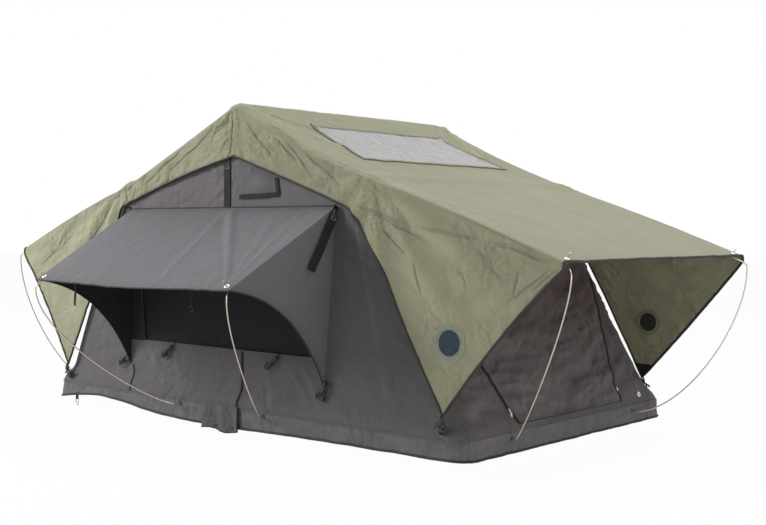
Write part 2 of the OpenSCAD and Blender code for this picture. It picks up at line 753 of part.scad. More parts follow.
module hinge_pins() {
  top = ridge_eye + eye_t / 2 + seat;
  low = right_eye - eye_t / 2 - seat;
  color(steel) from_hinge() both_sides() translate([0, -low, hinge_z]) rotate([90, 0, 0]) {
    cylinder(h = top - low, r = pin_r);
    translate([0, 0, top - low]) cylinder(h = pin_head, r = eye_r - 3);
    translate([0, 0, -pin_head]) cylinder(h = pin_head, r = eye_r - 3);
  }
}
// Spacers fill the gaps between hoop ends and hinge plates
module hinge_spacers() {
  step = (eye_pitch + eye_t - plate_t) / 4;
  places = [ridge_eye - step, left_eye + step, left_eye - step, right_eye + step];
  color(black) from_hinge() both_sides() for (y = places) translate([0, -y, hinge_z])
    rotate([90, 0, 0]) difference() {
      cylinder(h = spacer_l, r = spacer_r, center = true);
      cylinder(h = spacer_l * 2, r = pin_r + running, center = true);
    }
}
module fixed_rod_sockets() { color(black) fixed_half() sockets(fixed_rod_x, fixed_rod_y); }
module fixed_hold_downs() { color(black) fixed_half() hold_downs(tip_x(-1)); }
module flip_board() { color(skin) flip_half() board(door_rod_x, door_rod_y); }
module flip_frame() { color(alloy) flip_half() frame(door_rod_x, door_rod_y); }
module flip_mattress() { color(awning_grey) flip_half() mattress(); }
module flip_skirt() { color(canvas) flip_half() skirt(door_rod_x, door_rod_y); }
module flip_hinge_plates() { color(alloy) flip_half() hinge_plate(flip_plate, -1); }
module flip_rod_sockets() { color(black) flip_half() sockets(door_rod_x, door_rod_y); }
module flip_hold_downs() { color(black) flip_half() hold_downs(tip_x(1)); }
module left_hoop() { color(alloy) from_hinge() hoop(side_reach, left_eye, 180 - side_angle); }
module left_hoop_ends() { color(black) from_hinge() hoop_ends(side_reach, left_eye, 180 - side_angle); }
module ridge_hoop() { color(alloy) from_hinge() hoop(ridge_reach, ridge_eye, 90); }
module ridge_hoop_ends() { color(black) from_hinge() hoop_ends(ridge_reach, ridge_eye, 90); }
module right_hoop() { color(alloy) from_hinge() hoop(side_reach, right_eye, side_angle); }
module right_hoop_ends() { color(black) from_hinge() hoop_ends(side_reach, right_eye, side_angle); }
module near_wall() {
  color(canvas) from_hinge() side_panel(wall_half, canvas_t, false) difference() {
    gable();
    window_outline(0);
  }
}
module far_wall() {
  color(canvas) from_hinge() mirror([0, 1, 0]) side_panel(wall_half, canvas_t, false) gable();
}
module window_mesh() {
  color(black) from_hinge() side_panel(wall_half - canvas_t - seat, canvas_t, false)
    window_outline(window_seam);
}
module far_window_cover() {
  color(awning_grey) from_hinge() mirror([0, 1, 0]) side_panel(wall_out, canvas_t, true)
    window_outline(window_seam);
}
// Webbing: a strap under the ridge of both gables, and one at each end of the near awning seam, which
// hangs beside the gusset; each place is across from the seam's end, then above the seam
strap_l = 240;
strap_lap = 16;
right_place = [20, -4];
left_place = [-28, 6];
right_lean = 20;
left_lean = 22;
module webbing(top, low) {
  w = [strap_w / 2, 0];
  side_panel(wall_out, canvas_t, true) polygon([low - w, low + w, top + w, top - w]);
}
module gable_straps() {
  middle = [window_x / 2, seam_z + strap_lap / 2];
  right = [window_x + awning_top, seam_z] + right_place;
  left = [window_x - awning_top, seam_z] + left_place;
  color(black) from_hinge() {
    both_sides() webbing([middle[0], valance_z + strap_lap], middle);
    webbing(right, right - [right_lean, strap_l]);
    webbing(left, left - [left_lean, strap_l]);
  }
}
// Vent cover under the right slope, its corners taken from the hinge line and the awning seam
vent_corners = [[48, 34], [120, 157], [264, 105], [270, 43]];
module vent_cover() {
  color(awning_grey) from_hinge() translate([0, 0, seam_z]) side_panel(wall_out, canvas_t, true)
    polygon(vent_corners);
}
module roof_canvas() {
  low = [flip_x(kink(canvas_gap)), ridge(canvas_gap), kink(canvas_gap)];
  top = [kink(canvas_gap + canvas_t), ridge(canvas_gap + canvas_t), flip_x(kink(canvas_gap + canvas_t))];
  color(canvas) from_hinge() translate([0, wall_half, 0]) rotate([90, 0, 0]) linear_extrude(2 * wall_half)
    polygon(concat(low, top));
}
module fixed_end_wall() { color(canvas) fixed_half() end_wall(); }
module fixed_end_window() {
  color(awning_grey) fixed_half() on_end_wall(seat) linear_extrude(canvas_t) door_outline();
}
module flip_end_wall() { color(canvas) flip_half() end_wall(); }
module flip_door() {
  color(awning_grey) flip_half() on_end_wall(seat) linear_extrude(canvas_t) door_outline();
}
module door_zips() {
  color(black) flip_half() on_end_wall(seat) for (s = [-1, 1]) along_zip(s)
    translate([-zip_w / 2, 0, 0]) cube([zip_w, door_side / cos(door_lean), canvas_t]);
}
module near_door_slider() { color(black) door_slider(-1); }
module far_door_slider() { color(black) door_slider(1); }
module fly_roof() {
  color(fly_green) difference() {
    from_hinge() fly_sheet();
    from_hinge() on_roof(-cut_h / 2) linear_extrude(cut_h) sky_outline(-sky_seam);
    at_fly_eyes() cylinder(h = cut_h, r = eyelet_hole, center = true);
  }
}
module fly_near_flap() { color(fly_green) from_hinge() fly_flap(); }
module fly_far_flap() { color(fly_green) from_hinge() mirror([0, 1, 0]) fly_flap(); }
module skylight() {
  color(clear, 0.5) from_hinge() on_roof(seat) linear_extrude(fly_t / 2) sky_outline(0);
}
module eyelet() {
  difference() {
    cylinder(h = eyelet_t, r = eyelet_r);
    translate([0, 0, -1]) cylinder(h = eyelet_t + 2, r = eyelet_hole);
  }
}
module fly_eyelets() { color(steel) at_fly_eyes() translate([0, 0, seat]) eyelet(); }
module window_awning() {
  us = [for (k = [-8 : 8]) k / 8];
  vs = [for (k = [0 : 6]) k / 6];
  color(awning_grey) from_hinge() difference() {
    cloth([for (u = us) [for (v = vs) awning_point(u, v)]], [0, 0, -canvas_t]);
    at_awning_eyes() cylinder(h = cut_h, r = eyelet_hole, center = true);
  }
}
module awning_gussets() {
  color(awning_grey) from_hinge() translate([window_x, 0, 0]) {
    gusset(awning_shift);
    mirror([1, 0, 0]) gusset(-awning_shift);
  }
}
module awning_eyelets() { color(steel) from_hinge() at_awning_eyes() translate([0, 0, seat]) eyelet(); }
module fixed_near_rod() { color(steel) fixed_half() fly_rod(fixed_rod_y, fixed_eye_y, -1, full_bow); }
module fixed_far_rod() { color(steel) fixed_half() fly_rod(fixed_rod_y, fixed_eye_y, 1, full_bow); }
module flip_near_rod() { color(steel) flip_half() fly_rod(door_rod_y, flip_eye_y, -1, slight_bow); }
module flip_far_rod() { color(steel) flip_half() fly_rod(door_rod_y, flip_eye_y, 1, full_bow); }
module fixed_window_rod() { color(steel) from_hinge() window_rod(fixed_rod_x, -1, window_bow); }
module flip_window_rod() { color(steel) from_hinge() window_rod(door_rod_x, 1, slight_bow); }

mounting_rails();
rail_screws();
fixed_board();
fixed_frame();
fixed_mattress();
fixed_skirt();
near_hinge_flap();
far_hinge_flap();
fixed_hinge_plates();
hinge_pins();
hinge_spacers();
fixed_rod_sockets();
fixed_hold_downs();
flip_board();
flip_frame();
flip_mattress();
flip_skirt();
flip_hinge_plates();
flip_rod_sockets();
flip_hold_downs();
left_hoop();
left_hoop_ends();
ridge_hoop();
ridge_hoop_ends();
right_hoop();
right_hoop_ends();
near_wall();
far_wall();
window_mesh();
far_window_cover();
gable_straps();
vent_cover();
roof_canvas();
fixed_end_wall();
fixed_end_window();
flip_end_wall();
flip_door();
door_zips();
near_door_slider();
far_door_slider();
fly_roof();
fly_near_flap();
fly_far_flap();
skylight();
fly_eyelets();
window_awning();
awning_gussets();
awning_eyelets();
fixed_near_rod();
fixed_far_rod();
flip_near_rod();
flip_far_rod();
fixed_window_rod();
flip_window_rod();
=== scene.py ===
import functools
import json
import math

import bmesh
import bpy
import numpy as np
from mathutils import Matrix, Vector


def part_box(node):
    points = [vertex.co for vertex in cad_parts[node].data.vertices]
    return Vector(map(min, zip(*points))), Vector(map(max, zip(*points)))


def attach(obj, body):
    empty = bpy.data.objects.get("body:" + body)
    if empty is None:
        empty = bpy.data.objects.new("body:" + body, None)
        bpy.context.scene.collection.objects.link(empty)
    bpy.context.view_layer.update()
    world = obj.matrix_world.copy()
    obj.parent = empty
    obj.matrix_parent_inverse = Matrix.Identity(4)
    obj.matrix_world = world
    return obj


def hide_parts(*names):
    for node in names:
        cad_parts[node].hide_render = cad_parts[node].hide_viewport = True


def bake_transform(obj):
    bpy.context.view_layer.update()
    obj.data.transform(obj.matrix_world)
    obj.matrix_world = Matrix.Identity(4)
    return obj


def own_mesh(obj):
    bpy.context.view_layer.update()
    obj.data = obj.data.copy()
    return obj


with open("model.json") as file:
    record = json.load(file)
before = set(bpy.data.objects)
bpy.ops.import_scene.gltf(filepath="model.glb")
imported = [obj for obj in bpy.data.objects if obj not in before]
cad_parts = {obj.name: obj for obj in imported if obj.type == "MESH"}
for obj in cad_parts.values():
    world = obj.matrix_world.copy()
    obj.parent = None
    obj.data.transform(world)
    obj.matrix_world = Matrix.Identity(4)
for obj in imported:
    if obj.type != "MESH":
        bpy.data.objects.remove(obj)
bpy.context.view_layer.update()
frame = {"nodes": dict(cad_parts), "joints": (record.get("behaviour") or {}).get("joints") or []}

joints = {joint["name"]: joint for joint in frame["joints"]}

# Places that the frame gives, in metres; lengths along the tent are counted from the hinge
HINGE_X, _, HINGE_Z = joints["base_hinge"]["pos_m"]
FLY_LOW, FLY_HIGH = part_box("fly_roof")
FLY_HALF = FLY_HIGH.y
FLY_REACH = FLY_HIGH.x - HINGE_X
FLY_RIDGE_Z = FLY_HIGH.z
ROOF_LOW, ROOF_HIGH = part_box("roof_canvas")
KINK_X = ROOF_HIGH.x - HINGE_X
KINK_Z = ROOF_LOW.z
WALL_LOW, WALL_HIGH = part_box("near_wall")
WALL_Y = -WALL_LOW.y
WALL_FOOT_Z = WALL_LOW.z
WALL_FOOT_X = WALL_HIGH.x - HINGE_X
WALL_RIDGE_Z = WALL_HIGH.z
SKIRT_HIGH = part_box("flip_skirt")[1]
SKIRT_Y = SKIRT_HIGH.y
SKIRT_X = SKIRT_HIGH.x - HINGE_X
SEAM_Z = joints["awning_drop"]["pos_m"][2]
WINDOW_X = joints["awning_drop"]["pos_m"][0] - HINGE_X

# Halves of the tent along it and sides across it, with the words that name their pieces
HALVES = ((-1, "fixed"), (1, "flip"))
SIDES = ((-1, "near"), (1, "far"))
HOOPS = ["left_hoop", "ridge_hoop", "right_hoop"]

# Thicknesses of cloth and tape, radii of piping, rods and thread
CLOTH = 0.0015
THIN_CLOTH = 0.0008
MESH_CLOTH = 0.0006
PATCH_CLOTH = 0.0010
STRAP = 0.0018
HEM_PIPING = 0.0050
SEAM_PIPING = 0.0030
ROD_RADIUS = 0.0027
THREAD_RADIUS = 0.0009

# Roof of the fly; a pair is for the fixed half and the folding half
FLY_KINK_X = KINK_X + 0.0028
FLY_KINK_Z = KINK_Z + 0.004
FLY_END_Z = FLY_LOW.z + CLOTH
FLY_RIDGE_LIFT = 0.005
RIDGE_ROUND = 0.007
ROOF_HANG = (0.002, 0.017)
END_BULGE = (0.012, 0.008)
HOOP_RISE = (0.017, 0.009)
HOOP_SPREAD = 0.040
EDGE_ROUND = 0.010
UPPER_EDGE_ROUND = 0.022
UPPER_EDGE_PAST_HOOP = 0.14
UPPER_EDGE_FADE = 0.16
FLY_STEP = 0.0135
# Pulls from the ridge corners and from the hoops: how far along the tent and in from the edge they end
RIDGE_PULLS = ((0.30, 0.10), (0.44, 0.22), (0.24, 0.30))
RIDGE_PULL_INSET = 0.02
RIDGE_PULL_DEPTH = 0.0110
RIDGE_PULL_WIDTH = 0.013
HOOP_PULLS = ((0.30, 0.05), (0.46, 0.14))
HOOP_PULL_INSET = 0.03
HOOP_PULL_DEPTH = 0.0045
HOOP_PULL_WIDTH = 0.02
# How slack the fly is, at most 1: its flaps and what is added near the roof, its roof and the near corner
LOW_FLAP_SLACK = 0.55
TOP_FLAP_SLACK = 0.45
TOP_FLAP_REACH = 0.30
ROOF_SLACK = 0.26
NEAR_CORNER_SLACK = 0.5
NEAR_CORNER = (0.16, 0.10)
NEAR_CORNER_REACH = 0.20
# Length of cloth for each metre along the tent, on the end slopes and on the flaps' hems
END_SLOPE_LENGTH = 1.07
FLAP_HEM_LENGTH = 1.2

# Side flaps of the fly
TIP_X = 1.104
FIXED_TIP_X = 1.150
TIP_Z = 0.152
TIP_OUT = 0.027
END_HEM_Z = FLY_END_Z - 0.024
END_BOW = {-1: 0.026, 1: -0.008}
FLAP_TURN = 0.06
FLAP_SEEDS = {-1: 21, 1: 47}
FLAP_TOP_REACH = 0.11
INWARD_FOLDS = 0.45
# Folds that fan out below the hoops: their depth on the near and the far flap for each half, how many rays
# go to a radian, how uneven they are, and how far from the hoop they start, end and fade
FAN_DEPTHS = {-1: {-1: 0.0085, 1: 0.0062}, 1: {-1: 0.0055, 1: 0.0050}}
FAN_RAYS = 13
FAN_UNEVENNESS = 1.5
FAN_START = 0.2
FAN_END = 0.75
FAN_FADE = 0.5
FAN_LEAD = 0.15
# Lower edge of the flaps, from the middle of the tent to their tips
FIXED_HEM = [(0, 1.090), (0.35, 1.010), (0.70, 0.908), (0.752, 0.880), (0.800, 0.812), (0.966, 0.508),
             (FIXED_TIP_X, TIP_Z)]
FLIP_HEM = [(0, 1.090), (0.35, 0.974), (0.60, 0.886), (0.668, 0.843), (0.73, 0.757), (0.812, 0.650),
            (0.922, 0.447), (TIP_X, TIP_Z)]
FAR_HEM = [(0, 1.090), (0.35, 0.987), (0.66, 0.893), (0.712, 0.862), (0.78, 0.755), (0.905, 0.536),
           (1.0, 0.355), (TIP_X, TIP_Z)]
# Long creases of the flaps: the place along the tent and the height of both their ends
FLY_CREASES = [
    (0.064, 1.233, 0.252, 1.056), (0.155, 1.233, 0.407, 1.085), (0.236, 1.162, 0.376, 1.036),
    (0.298, 1.137, 0.482, 0.968), (0.392, 1.097, 0.629, 0.939), (0.669, 0.881, 0.961, 0.802),
    (0.961, 0.802, 1.269, 0.761), (1.269, 0.761, 1.540, 0.684), (0.739, 0.869, 1.046, 0.737),
    (1.349, 0.546, 1.541, 0.675), (1.447, 0.591, 1.556, 0.674), (1.380, 0.570, 1.400, 0.660),
    (0.955, 0.680, 1.004, 0.560), (0.80, 0.80, 0.93, 0.70), (-0.010, 1.290, -0.016, 1.085),
    (-0.742, 1.000, -0.712, 0.900), (-0.30, 1.150, -0.62, 0.965), (-0.12, 1.205, -0.45, 1.020),
    (-0.80, 0.93, -1.10, 0.62), (-0.86, 0.86, -1.00, 0.52), (-1.10, 0.78, -1.42, 0.60),
]
CREASE_WIDTH = 0.009
CREASE_SWAY = 0.03

# How far folds have come up at a held edge, and how far from it they are whole
HELD_START = 0.3
ROOF_EDGE_FADE = 0.05

# Depth of a fold that gets its full painted shade: most cloth, end walls, panels, the skirt and the skylight,
# the vent
FULL_FOLD = 0.006
END_FULL_FOLD = 0.007
PANEL_FULL_FOLD = 0.005
FINE_FULL_FOLD = 0.003
VENT_FULL_FOLD = 0.010

# Skylight, measured down the slope from the ridge
SKY_TOP = 0.202
SKY_LENGTH = 0.376
SKY_HALF = 0.420
SKY_FLARE = 0.055
SKY_LAP = 0.012
SKY_LIFT = 0.0026
BINDING_OUT = 0.008
BINDING_IN = 0.010
BINDING_LIFT = 0.0044
BINDING_THICK = 0.0012
SKY_EDGE = 0.05

# Gable walls and end walls
ROOF_EDGE = 0.055
TAUT_CORNER = 0.014
SLACK_CORNER = 0.065
SLACK_CORNER_GAIN = 0.095
END_LEAN = 0.897
ROOF_LEAN = 0.92
ROUND_ABOVE_Z = 0.45
# The walls' feet spread over the skirt: how far out, how much more at the corners, from which height, how low
FOOT_OUT_X = 0.0195
FOOT_OUT_Y = 0.0365
FOOT_CORNER_GAIN = 3.4
FOOT_TOP_Z = 0.155
FOOT_HEIGHT = 0.085
FOOT_DROP = 0.010
FOOT_DROP_TOP_Z = 0.095
FOOT_DROP_HEIGHT = 0.022
# The fixed end is drawn in between foot and roof
FIXED_END_HOLLOW = 0.015
HOLLOW_START = 0.55
HOLLOW_FADE = 0.35
END_FACING = (0.8971, 0, 0.4418)
END_SLACK = 1.7
END_SAG = 0.05
# The end walls' folds fade towards foot, roof and sides, and the zips hold them flat
END_FOOT_FADE = 0.06
END_TOP_GAP = 0.02
END_TOP_FADE = 0.2
END_SIDE_FADE = 0.08
ZIP_SLANT = 1.6
ZIP_HOLD = 0.7
ZIP_HOLD_REACH = 0.035
ROOF_CANVAS_SAG = 0.014
SHELL_STEP = 0.014
WALL_STEP = 0.0125
WALL_EDGE = 0.07
WALL_SEEDS = {-1: 31, 1: 57}
# The wrinkled strip below the near window, and the painted light that makes the cloth above the awning's seam
# lighter
LOW_STRIP_X = -0.06
LOW_STRIP_HALF = 0.13
LOW_STRIP_TOP_Z = 0.36
LOW_STRIP_FADE = 0.2
GABLE_PAINTED_LIGHT = 1.4
GABLE_FADE = 0.02
# Pulls in a gable wall: where each starts and ends, its depth and its width
WALL_PULLS = [
    ((0.38, 0.28), (0.50, 0.10), 0.005, 0.02), ((0.28, 0.29), (0.44, 0.10), 0.005, 0.02),
    ((0.16, 0.28), (0.24, 0.09), 0.005, 0.02), ((-0.58, 0.28), (-0.44, 0.09), 0.004, 0.022),
    ((-0.40, 0.28), (-0.34, 0.09), 0.004, 0.022), ((0.66, 0.84), (0.84, 0.12), 0.004, 0.022),
]
# Heights between which the end canvas turns to its upper colour, a painted brownish shade under the fly
UPPER_SHADE_START_Z = 0.14
UPPER_SHADE_FULL_Z = 0.60
# Window and end door, with the distances of mesh, flap, zips and hem from the walls' cloth
MESH_IN = 0.006
FLAP_OFF = 0.006
WINDOW_ZIP_OFF = 0.011
WINDOW_ZIP_MARGIN = 0.004
WINDOW_ZIP_WIDTH = 0.014
DOOR_OFF = 0.0028
DOOR_HEM_OFF = 0.0030
DOOR_HEM_RADIUS = 0.0018
DOOR_ZIP_OFF = 0.0036
DOOR_ZIP_WIDTH = 0.011
SILL_Z = 0.300
SILL_HALF = 0.536
WINDOW_TOP_HALF = 0.600
DOOR_SILL = 0.026
DOOR_TOP = 0.620
DOOR_HALF = 0.366
DOOR_TOP_HALF = 0.556
DOOR_CORNER = 0.120

# Skirt round the base
SKIRT_CORNERS = {-1: 0.034, 1: 0.0728}
SKIRT_TOP_Z = 0.0722
SKIRT_STEP = 0.016
SKIRT_OFF = 0.0018
SKIRT_INWARD = -0.0004
# Pleats at the corners, the uneven hem and the belly at the fixed end
CORNER_PLEAT_DEPTH = 0.0022
CORNER_PLEAT_PITCH = 0.024
CORNER_PLEAT_REACH = 0.05
HEM_WAVE = 0.0022
HEM_WAVE_LENGTH = 0.12
BELLY = 0.010
BELLY_START = 1.10
BELLY_FADE = 0.08
# Turn of the skirt over the edge of the base: share of the way to the wall, and height over the top
SKIRT_TURN = ((0.0, 0.0002), (0.12, 0.0008), (0.5, 0.0008), (1.0, 0.0008))
HINGE_FLAP_OFF = 0.0085
HINGE_FLAP_INWARD = -0.0035
HINGE_FLAP_HEM = 0.0026
HINGE_FLAP_EDGE = 0.0036
HINGE_FLAP_WAVE = 0.0040
HINGE_FLAP_WAVES = 1.8
HINGE_HEM_WAVE = 0.006
# Height of the skirt's hem along the tent, pulled up by a slack stretch on the fixed half
SKIRT_HEM = [(-1.20, -0.003), (-1.04, 0.019), (-0.90, 0.027), (-0.74, 0.019), (-0.525, -0.004),
             (-0.32, -0.014), (0, -0.016), (0.30, -0.008), (0.67, -0.003), (1.20, 0.0)]

# Window awning
SEAM_Y = -WALL_Y - 0.0003
AWNING_HALF = 0.630
AWNING_FRONT_HALF = 0.605
AWNING_SHIFT = -0.037
AWNING_FRONT_Y = -1.1503
AWNING_FRONT_Z = 0.578
AWNING_SAG = 0.010
AWNING_RUN = 0.57
# Pulls from the front corners: where each ends, its depth, and how much deeper it is on the right side
AWNING_PULLS = ((0.03, 0.0065, 0.0045), (0.33, 0.0017, 0.0015), (0.48, 0.002, 0.001))
AWNING_PULL_HALF = 0.575
AWNING_PULL_RUN = 0.55
AWNING_PULL_WIDTH = 0.020
# The pleat along the middle: its place at the seam, how far it drifts to the front, its width and its height
AWNING_PLEAT_X = -0.0325
AWNING_PLEAT_DRIFT = 0.10
AWNING_PLEAT_WIDTH = 0.020
AWNING_PLEAT_HEIGHT = 0.0050
AWNING_PLEAT_FADE = 0.8
AWNING_RIGHT_FADE = 0.25
AWNING_SEAM_FADE = 0.12
AWNING_SIDE_FADE = 0.05
AWNING_HEM = 0.0032
GUSSET_FOOT_Z = 0.185
GUSSET_SCOOP = 0.34

# Eyelets and the rods that spring into them
FLY_EYE_X = FLY_REACH - 0.020
FLY_EYE_HALF = {-1: 0.654, 1: 0.624}
FLY_EYE_TILT = 0.33
FLY_EYE_RISE = 0.94
AWNING_EYE_ACROSS = 0.9471
AWNING_EYE_FRONT = 1 - 0.0415
AWNING_EYE_FACING = (0, -0.53, 0.85)
EYE_LIFT = 0.0010
FLY_EYE_SIZE = (0.0080, 0.0027)
EYE_SIZE = (0.0085, 0.0030)
END_EYE = (0.509, 0.036, 0.0042)
ROD_FOOT_Z = 0.050
ROD_FOOT_HALF = {-1: 0.540, 1: 0.430}
ROD_DROP = 0.0008
# Sideways lean of a rod and how much it bows; the rods at the folding half's near corner are almost straight
ROD_LEAN = 0.35
ROD_BOW = 1.0
STRAIGHT_BOW = 0.1
# Window rods: side, half of the base, bow and place of the foot along the tent
WINDOW_RODS = ((-1, "fixed", 0.60, -0.315), (1, "flip", STRAIGHT_BOW, 0.200))
# Course of a rod: its straight foot, its neck beside and below the eyelet, the pulls that round its curves,
# and the bends of its hooked tip along the eyelet's axis and away from it
ROD_OUT = 0.016
NECK_AWAY = 0.046
NECK_BOW = 0.028
NECK_BELOW = 0.058
FOOT_PULL = 0.200
NECK_PULL = 0.125
NECK_RISE = 0.030
EYE_PULL = 0.026
ROD_TIP = ((0.006, 0), (0.016, 0.002), (0.022, 0.006))

# Webbing on the gables: side, upper end and lower end of each strap
GABLE_STRAPS = [
    (-1, (-0.050, 1.088), (-0.050, 0.884)), (1, (-0.050, 1.088), (-0.050, 0.884)),
    (-1, (-0.716, 0.890), (-0.742, 0.646)),
]
STRAP_WIDTH = 0.038
STRAP_OFF = 0.0030
STITCH_OFF = 0.0048
BOX_DOWN = 0.030
SIDE_STRAP_TOP = (0.574, -0.672, 0.879)
SIDE_STRAP_LOW = (0.548, -0.785, 0.640)
SIDE_STRAP_LENGTH = 0.266
SIDE_STRAP_WIDTH = 0.036
# Course of the thread in a sewn box with a cross in it, and half the box's width and height
BOX_COURSE = [(-1, -1), (1, -1), (1, 1), (-1, 1), (-1, -1), (1, 1), (1, -1), (-1, 1)]
BOX_HALF = (0.012, 0.018)
VENT_CORNERS = ((0.026, 0.923), (0.097, 1.041), (0.242, 0.996), (0.254, 0.930))
VENT_PUFF = 0.010
VENT_MOUTH = 0.006
VENT_OFF = 0.0030
VENT_TAPE = 0.017
# Black tape beside the window, which is painted shade for the wall in the awning's shadow; the seam below its
# left end and the zip below the sill
SHADE_TAPE_OFF = 0.0009
SHADE_TAPE_THICK = 0.0010
SHADE_TAPE_GAP = 0.008
SEAM_TOP = (-0.684, GUSSET_FOOT_Z)
SEAM_LOW = (-0.668, 0.078)
SEAM_SIZE = (0.005, 0.0022)
WALL_ZIP_TOP = (0.042, SILL_Z - 0.006)
WALL_ZIP_LOW = (0.042, 0.076)
WALL_ZIP_SIZE = (0.010, 0.0026)

# Toggles on the near wall: place and lean in degrees, then the bends of a toggle's cord
TOGGLES = ((-0.430, 0.262, 38), (-0.735, 0.203, 12), (0.228, 0.264, 38), (0.513, 0.176, 80))
TOGGLE_CORD = [
    (0.036, 0.008, 0.036), (0.022, 0.001, 0.024), (0.005, -0.010, 0.005), (-0.020, -0.008, -0.020),
    (-0.038, 0.0, -0.028), (-0.043, 0.003, -0.012), (-0.025, 0.002, -0.008),
]
TOGGLE_STEPS = (-0.036, -0.034, -0.012, 0.012, 0.034, 0.038)
TOGGLE_OFF = 0.012
TOGGLE_RADIUS = 0.0075
KNOT_RADIUS = 0.0034

# Awning ties: name, place along and across, height of the lower end; then strap width and ring
AWNING_TIES = (("middle", 0.000, -0.90, 0.492), ("left", -0.574, -1.05, 0.496))
TIE_DOWN = 0.012
TIE_WIDTH = 0.013
TIE_RING = (0.0135, 0.0024)

# Hold-downs: half of the base, place on the skirt and tip of the flap, then the bends of their two knots
HOLD_DOWNS = ((1, "flip", 1.104, TIP_X), (-1, "fixed", 1.130, FIXED_TIP_X))
KNOTS = [
    [(-0.030, 0.004, 0.108), (-0.014, 0.008, 0.118), (0.004, 0.010, 0.112), (0.020, 0.007, 0.121),
     (0.033, 0.004, 0.112)],
    [(-0.022, 0.004, 0.128), (-0.008, 0.010, 0.120), (0.010, 0.009, 0.126), (0.018, 0.005, 0.108),
     (0.014, 0.004, 0.092)],
]
HOLD_DOWN_OFF = 0.0075
TAB_TOP_Z = 0.114
TAB_FOOT_Z = 0.088
TAB_SIZE = (0.022, 0.003)
CORD_RADIUS = 0.0030
# Half width and height of a loop's foot, then its bends at the flap's tip
LOOP_FOOT = (0.006, 0.104)
LOOP_BENDS = ((-0.009, 0.130), (-0.005, 0.148), (0, 0.156), (0.005, 0.148), (0.009, 0.130))
# Hooks at the tip and at the skirt: how far out, height, size and turn
TIP_HOOK = (0.002, 0.134, (0.017, 0.010, 0.022), 8)
SKIRT_HOOK = (0.005, 0.103, (0.028, 0.009, 0.013), 0)
HOOK_BEVEL = 0.003
# Ring under the skirt's hem: place, ends of its tab, width and thickness of the tab, size of the ring
SKIRT_RING_X = -1.076
SKIRT_RING_Y = -SKIRT_Y - 0.0045
RING_TAB_Z = (0.022, -0.014)
RING_TAB_SIZE = (0.020, 0.0025)
SKIRT_RING_Z = -0.024
SKIRT_RING = (0.0135, 0.0028)
# Patches inside the flaps' tips: their span along the tent, their top and their distance from the cloth
TIP_PATCH_SPAN = (-0.030, 0.042)
TIP_PATCH_TOP_Z = 0.212
INNER_PATCH_OFF = 0.0022
# Round patches and their rims: place along the tent, height, radius and distance out from the flap's cloth
NEAR_RIM_PLACE = (1.124, 0.405, 0.067, 0.0016)
NEAR_PATCH_PLACE = (1.124, 0.405, 0.045, 0.0030)
FAR_RIM_PLACE = (1.139, 0.397, 0.056, -CLOTH - INNER_PATCH_OFF)
FAR_PATCH_PLACE = (1.139, 0.397, 0.039, -CLOTH - 0.0038)

# Kinds of wrinkles: depth, direction in degrees, length, width and step from the cloth's seed
FLAP_WRINKLES = [(0.0042, 18, 0.26, 0.060, 0), (0.0030, -40, 0.14, 0.04, 2)]
FLAP_TOP_WRINKLES = [(0.0070, 4, 0.20, 0.045, 7)]
ROOF_WRINKLES = [(0.0026, 20, 0.5, 0.12, 3), (0.0014, -35, 0.3, 0.06, 9)]
SKY_WRINKLES = [(0.0016, 82, 0.34, 0.034, 61), (0.0010, 68, 0.20, 0.03, 67)]
WALL_WRINKLES = [(0.0026, 84, 0.5, 0.09, 0), (0.0012, 30, 0.2, 0.05, 4)]
LOW_WALL_WRINKLES = [(0.0060, 82, 0.30, 0.055, 8)]
END_WRINKLES = [(0.0190, 4, 0.42, 0.075, 83), (0.0110, 25, 0.22, 0.05, 89)]
SKIRT_WRINKLES = [(0.0040, 70, 0.12, 0.05, 91), (0.0030, 10, 0.25, 0.03, 97)]
HINGE_FLAP_WRINKLES = [(0.0030, 75, 0.10, 0.03, 121)]
AWNING_WRINKLES = [(0.0024, 70, 0.4, 0.09, 101)]
RIGHT_AWNING_WRINKLES = [(0.0030, 40, 0.20, 0.05, 103)]
GUSSET_WRINKLES = [(0.0035, 60, 0.3, 0.06, 111)]

# Studio and camera
FLOOR_Z = -0.056
FLOOR_GLOW = 0.965
LIGHTS = (
    ("overhead light", (2.5, 0.6, 4.3), (0.8, 0, 0.6), 3.0, 136, (1, 1, 1)),
    ("left key", (-2.5, -3.6, 2.6), (0.3, -0.5, 0.6), 1.3, 185, (1, 1, 1)),
    ("end fill", (4.6, -1.2, 0.35), (1.2, 0.1, 0.05), 1.2, 30, (1, 0.92, 0.89)),
)
CAMERA_PLACE = (4.1341, -3.7955, 0.7975)
CAMERA_AZIMUTH = 41.1823
CAMERA_PITCH = 1.7032
CAMERA_ROLL = 0.2317
CAMERA_LENS = 53.85


# Shaping helpers
def at(x, y, z):
    """A point given from under the hinge, in the shared frame."""
    return Vector((HINGE_X + x, y, z))


def unit(*parts):
    return np.array(parts, float) / np.linalg.norm(parts)


def mix(a, b, t):
    return a + (b - a) * t


def ease(t):
    t = np.clip(t, 0.0, 1.0)
    return t * t * (3 - 2 * t)


def bell(t):
    return np.exp(-t ** 2)


def arch(t):
    return 4 * t * (1 - t)


def by_half(x, pair):
    """The first of a pair on the fixed half, the second on the folding half."""
    return np.where(x < 0, *pair)


def spaced(stops, step):
    """Evenly spaced values between each pair of stops, every stop among them."""
    runs = [np.linspace(a, b, max(2, int(abs(b - a) / step) + 1))[:-1] for a, b in zip(stops, stops[1:])]
    return np.concatenate(runs + [stops[-1:]])


def split_line(corners, count):
    """Points along a line of corners, each stretch split evenly, without the last corner."""
    corners = np.array(corners, float)
    share = np.linspace(0, 1, count, endpoint=False)[:, None]
    return np.concatenate([mix(a, b, share) for a, b in zip(corners, corners[1:])])


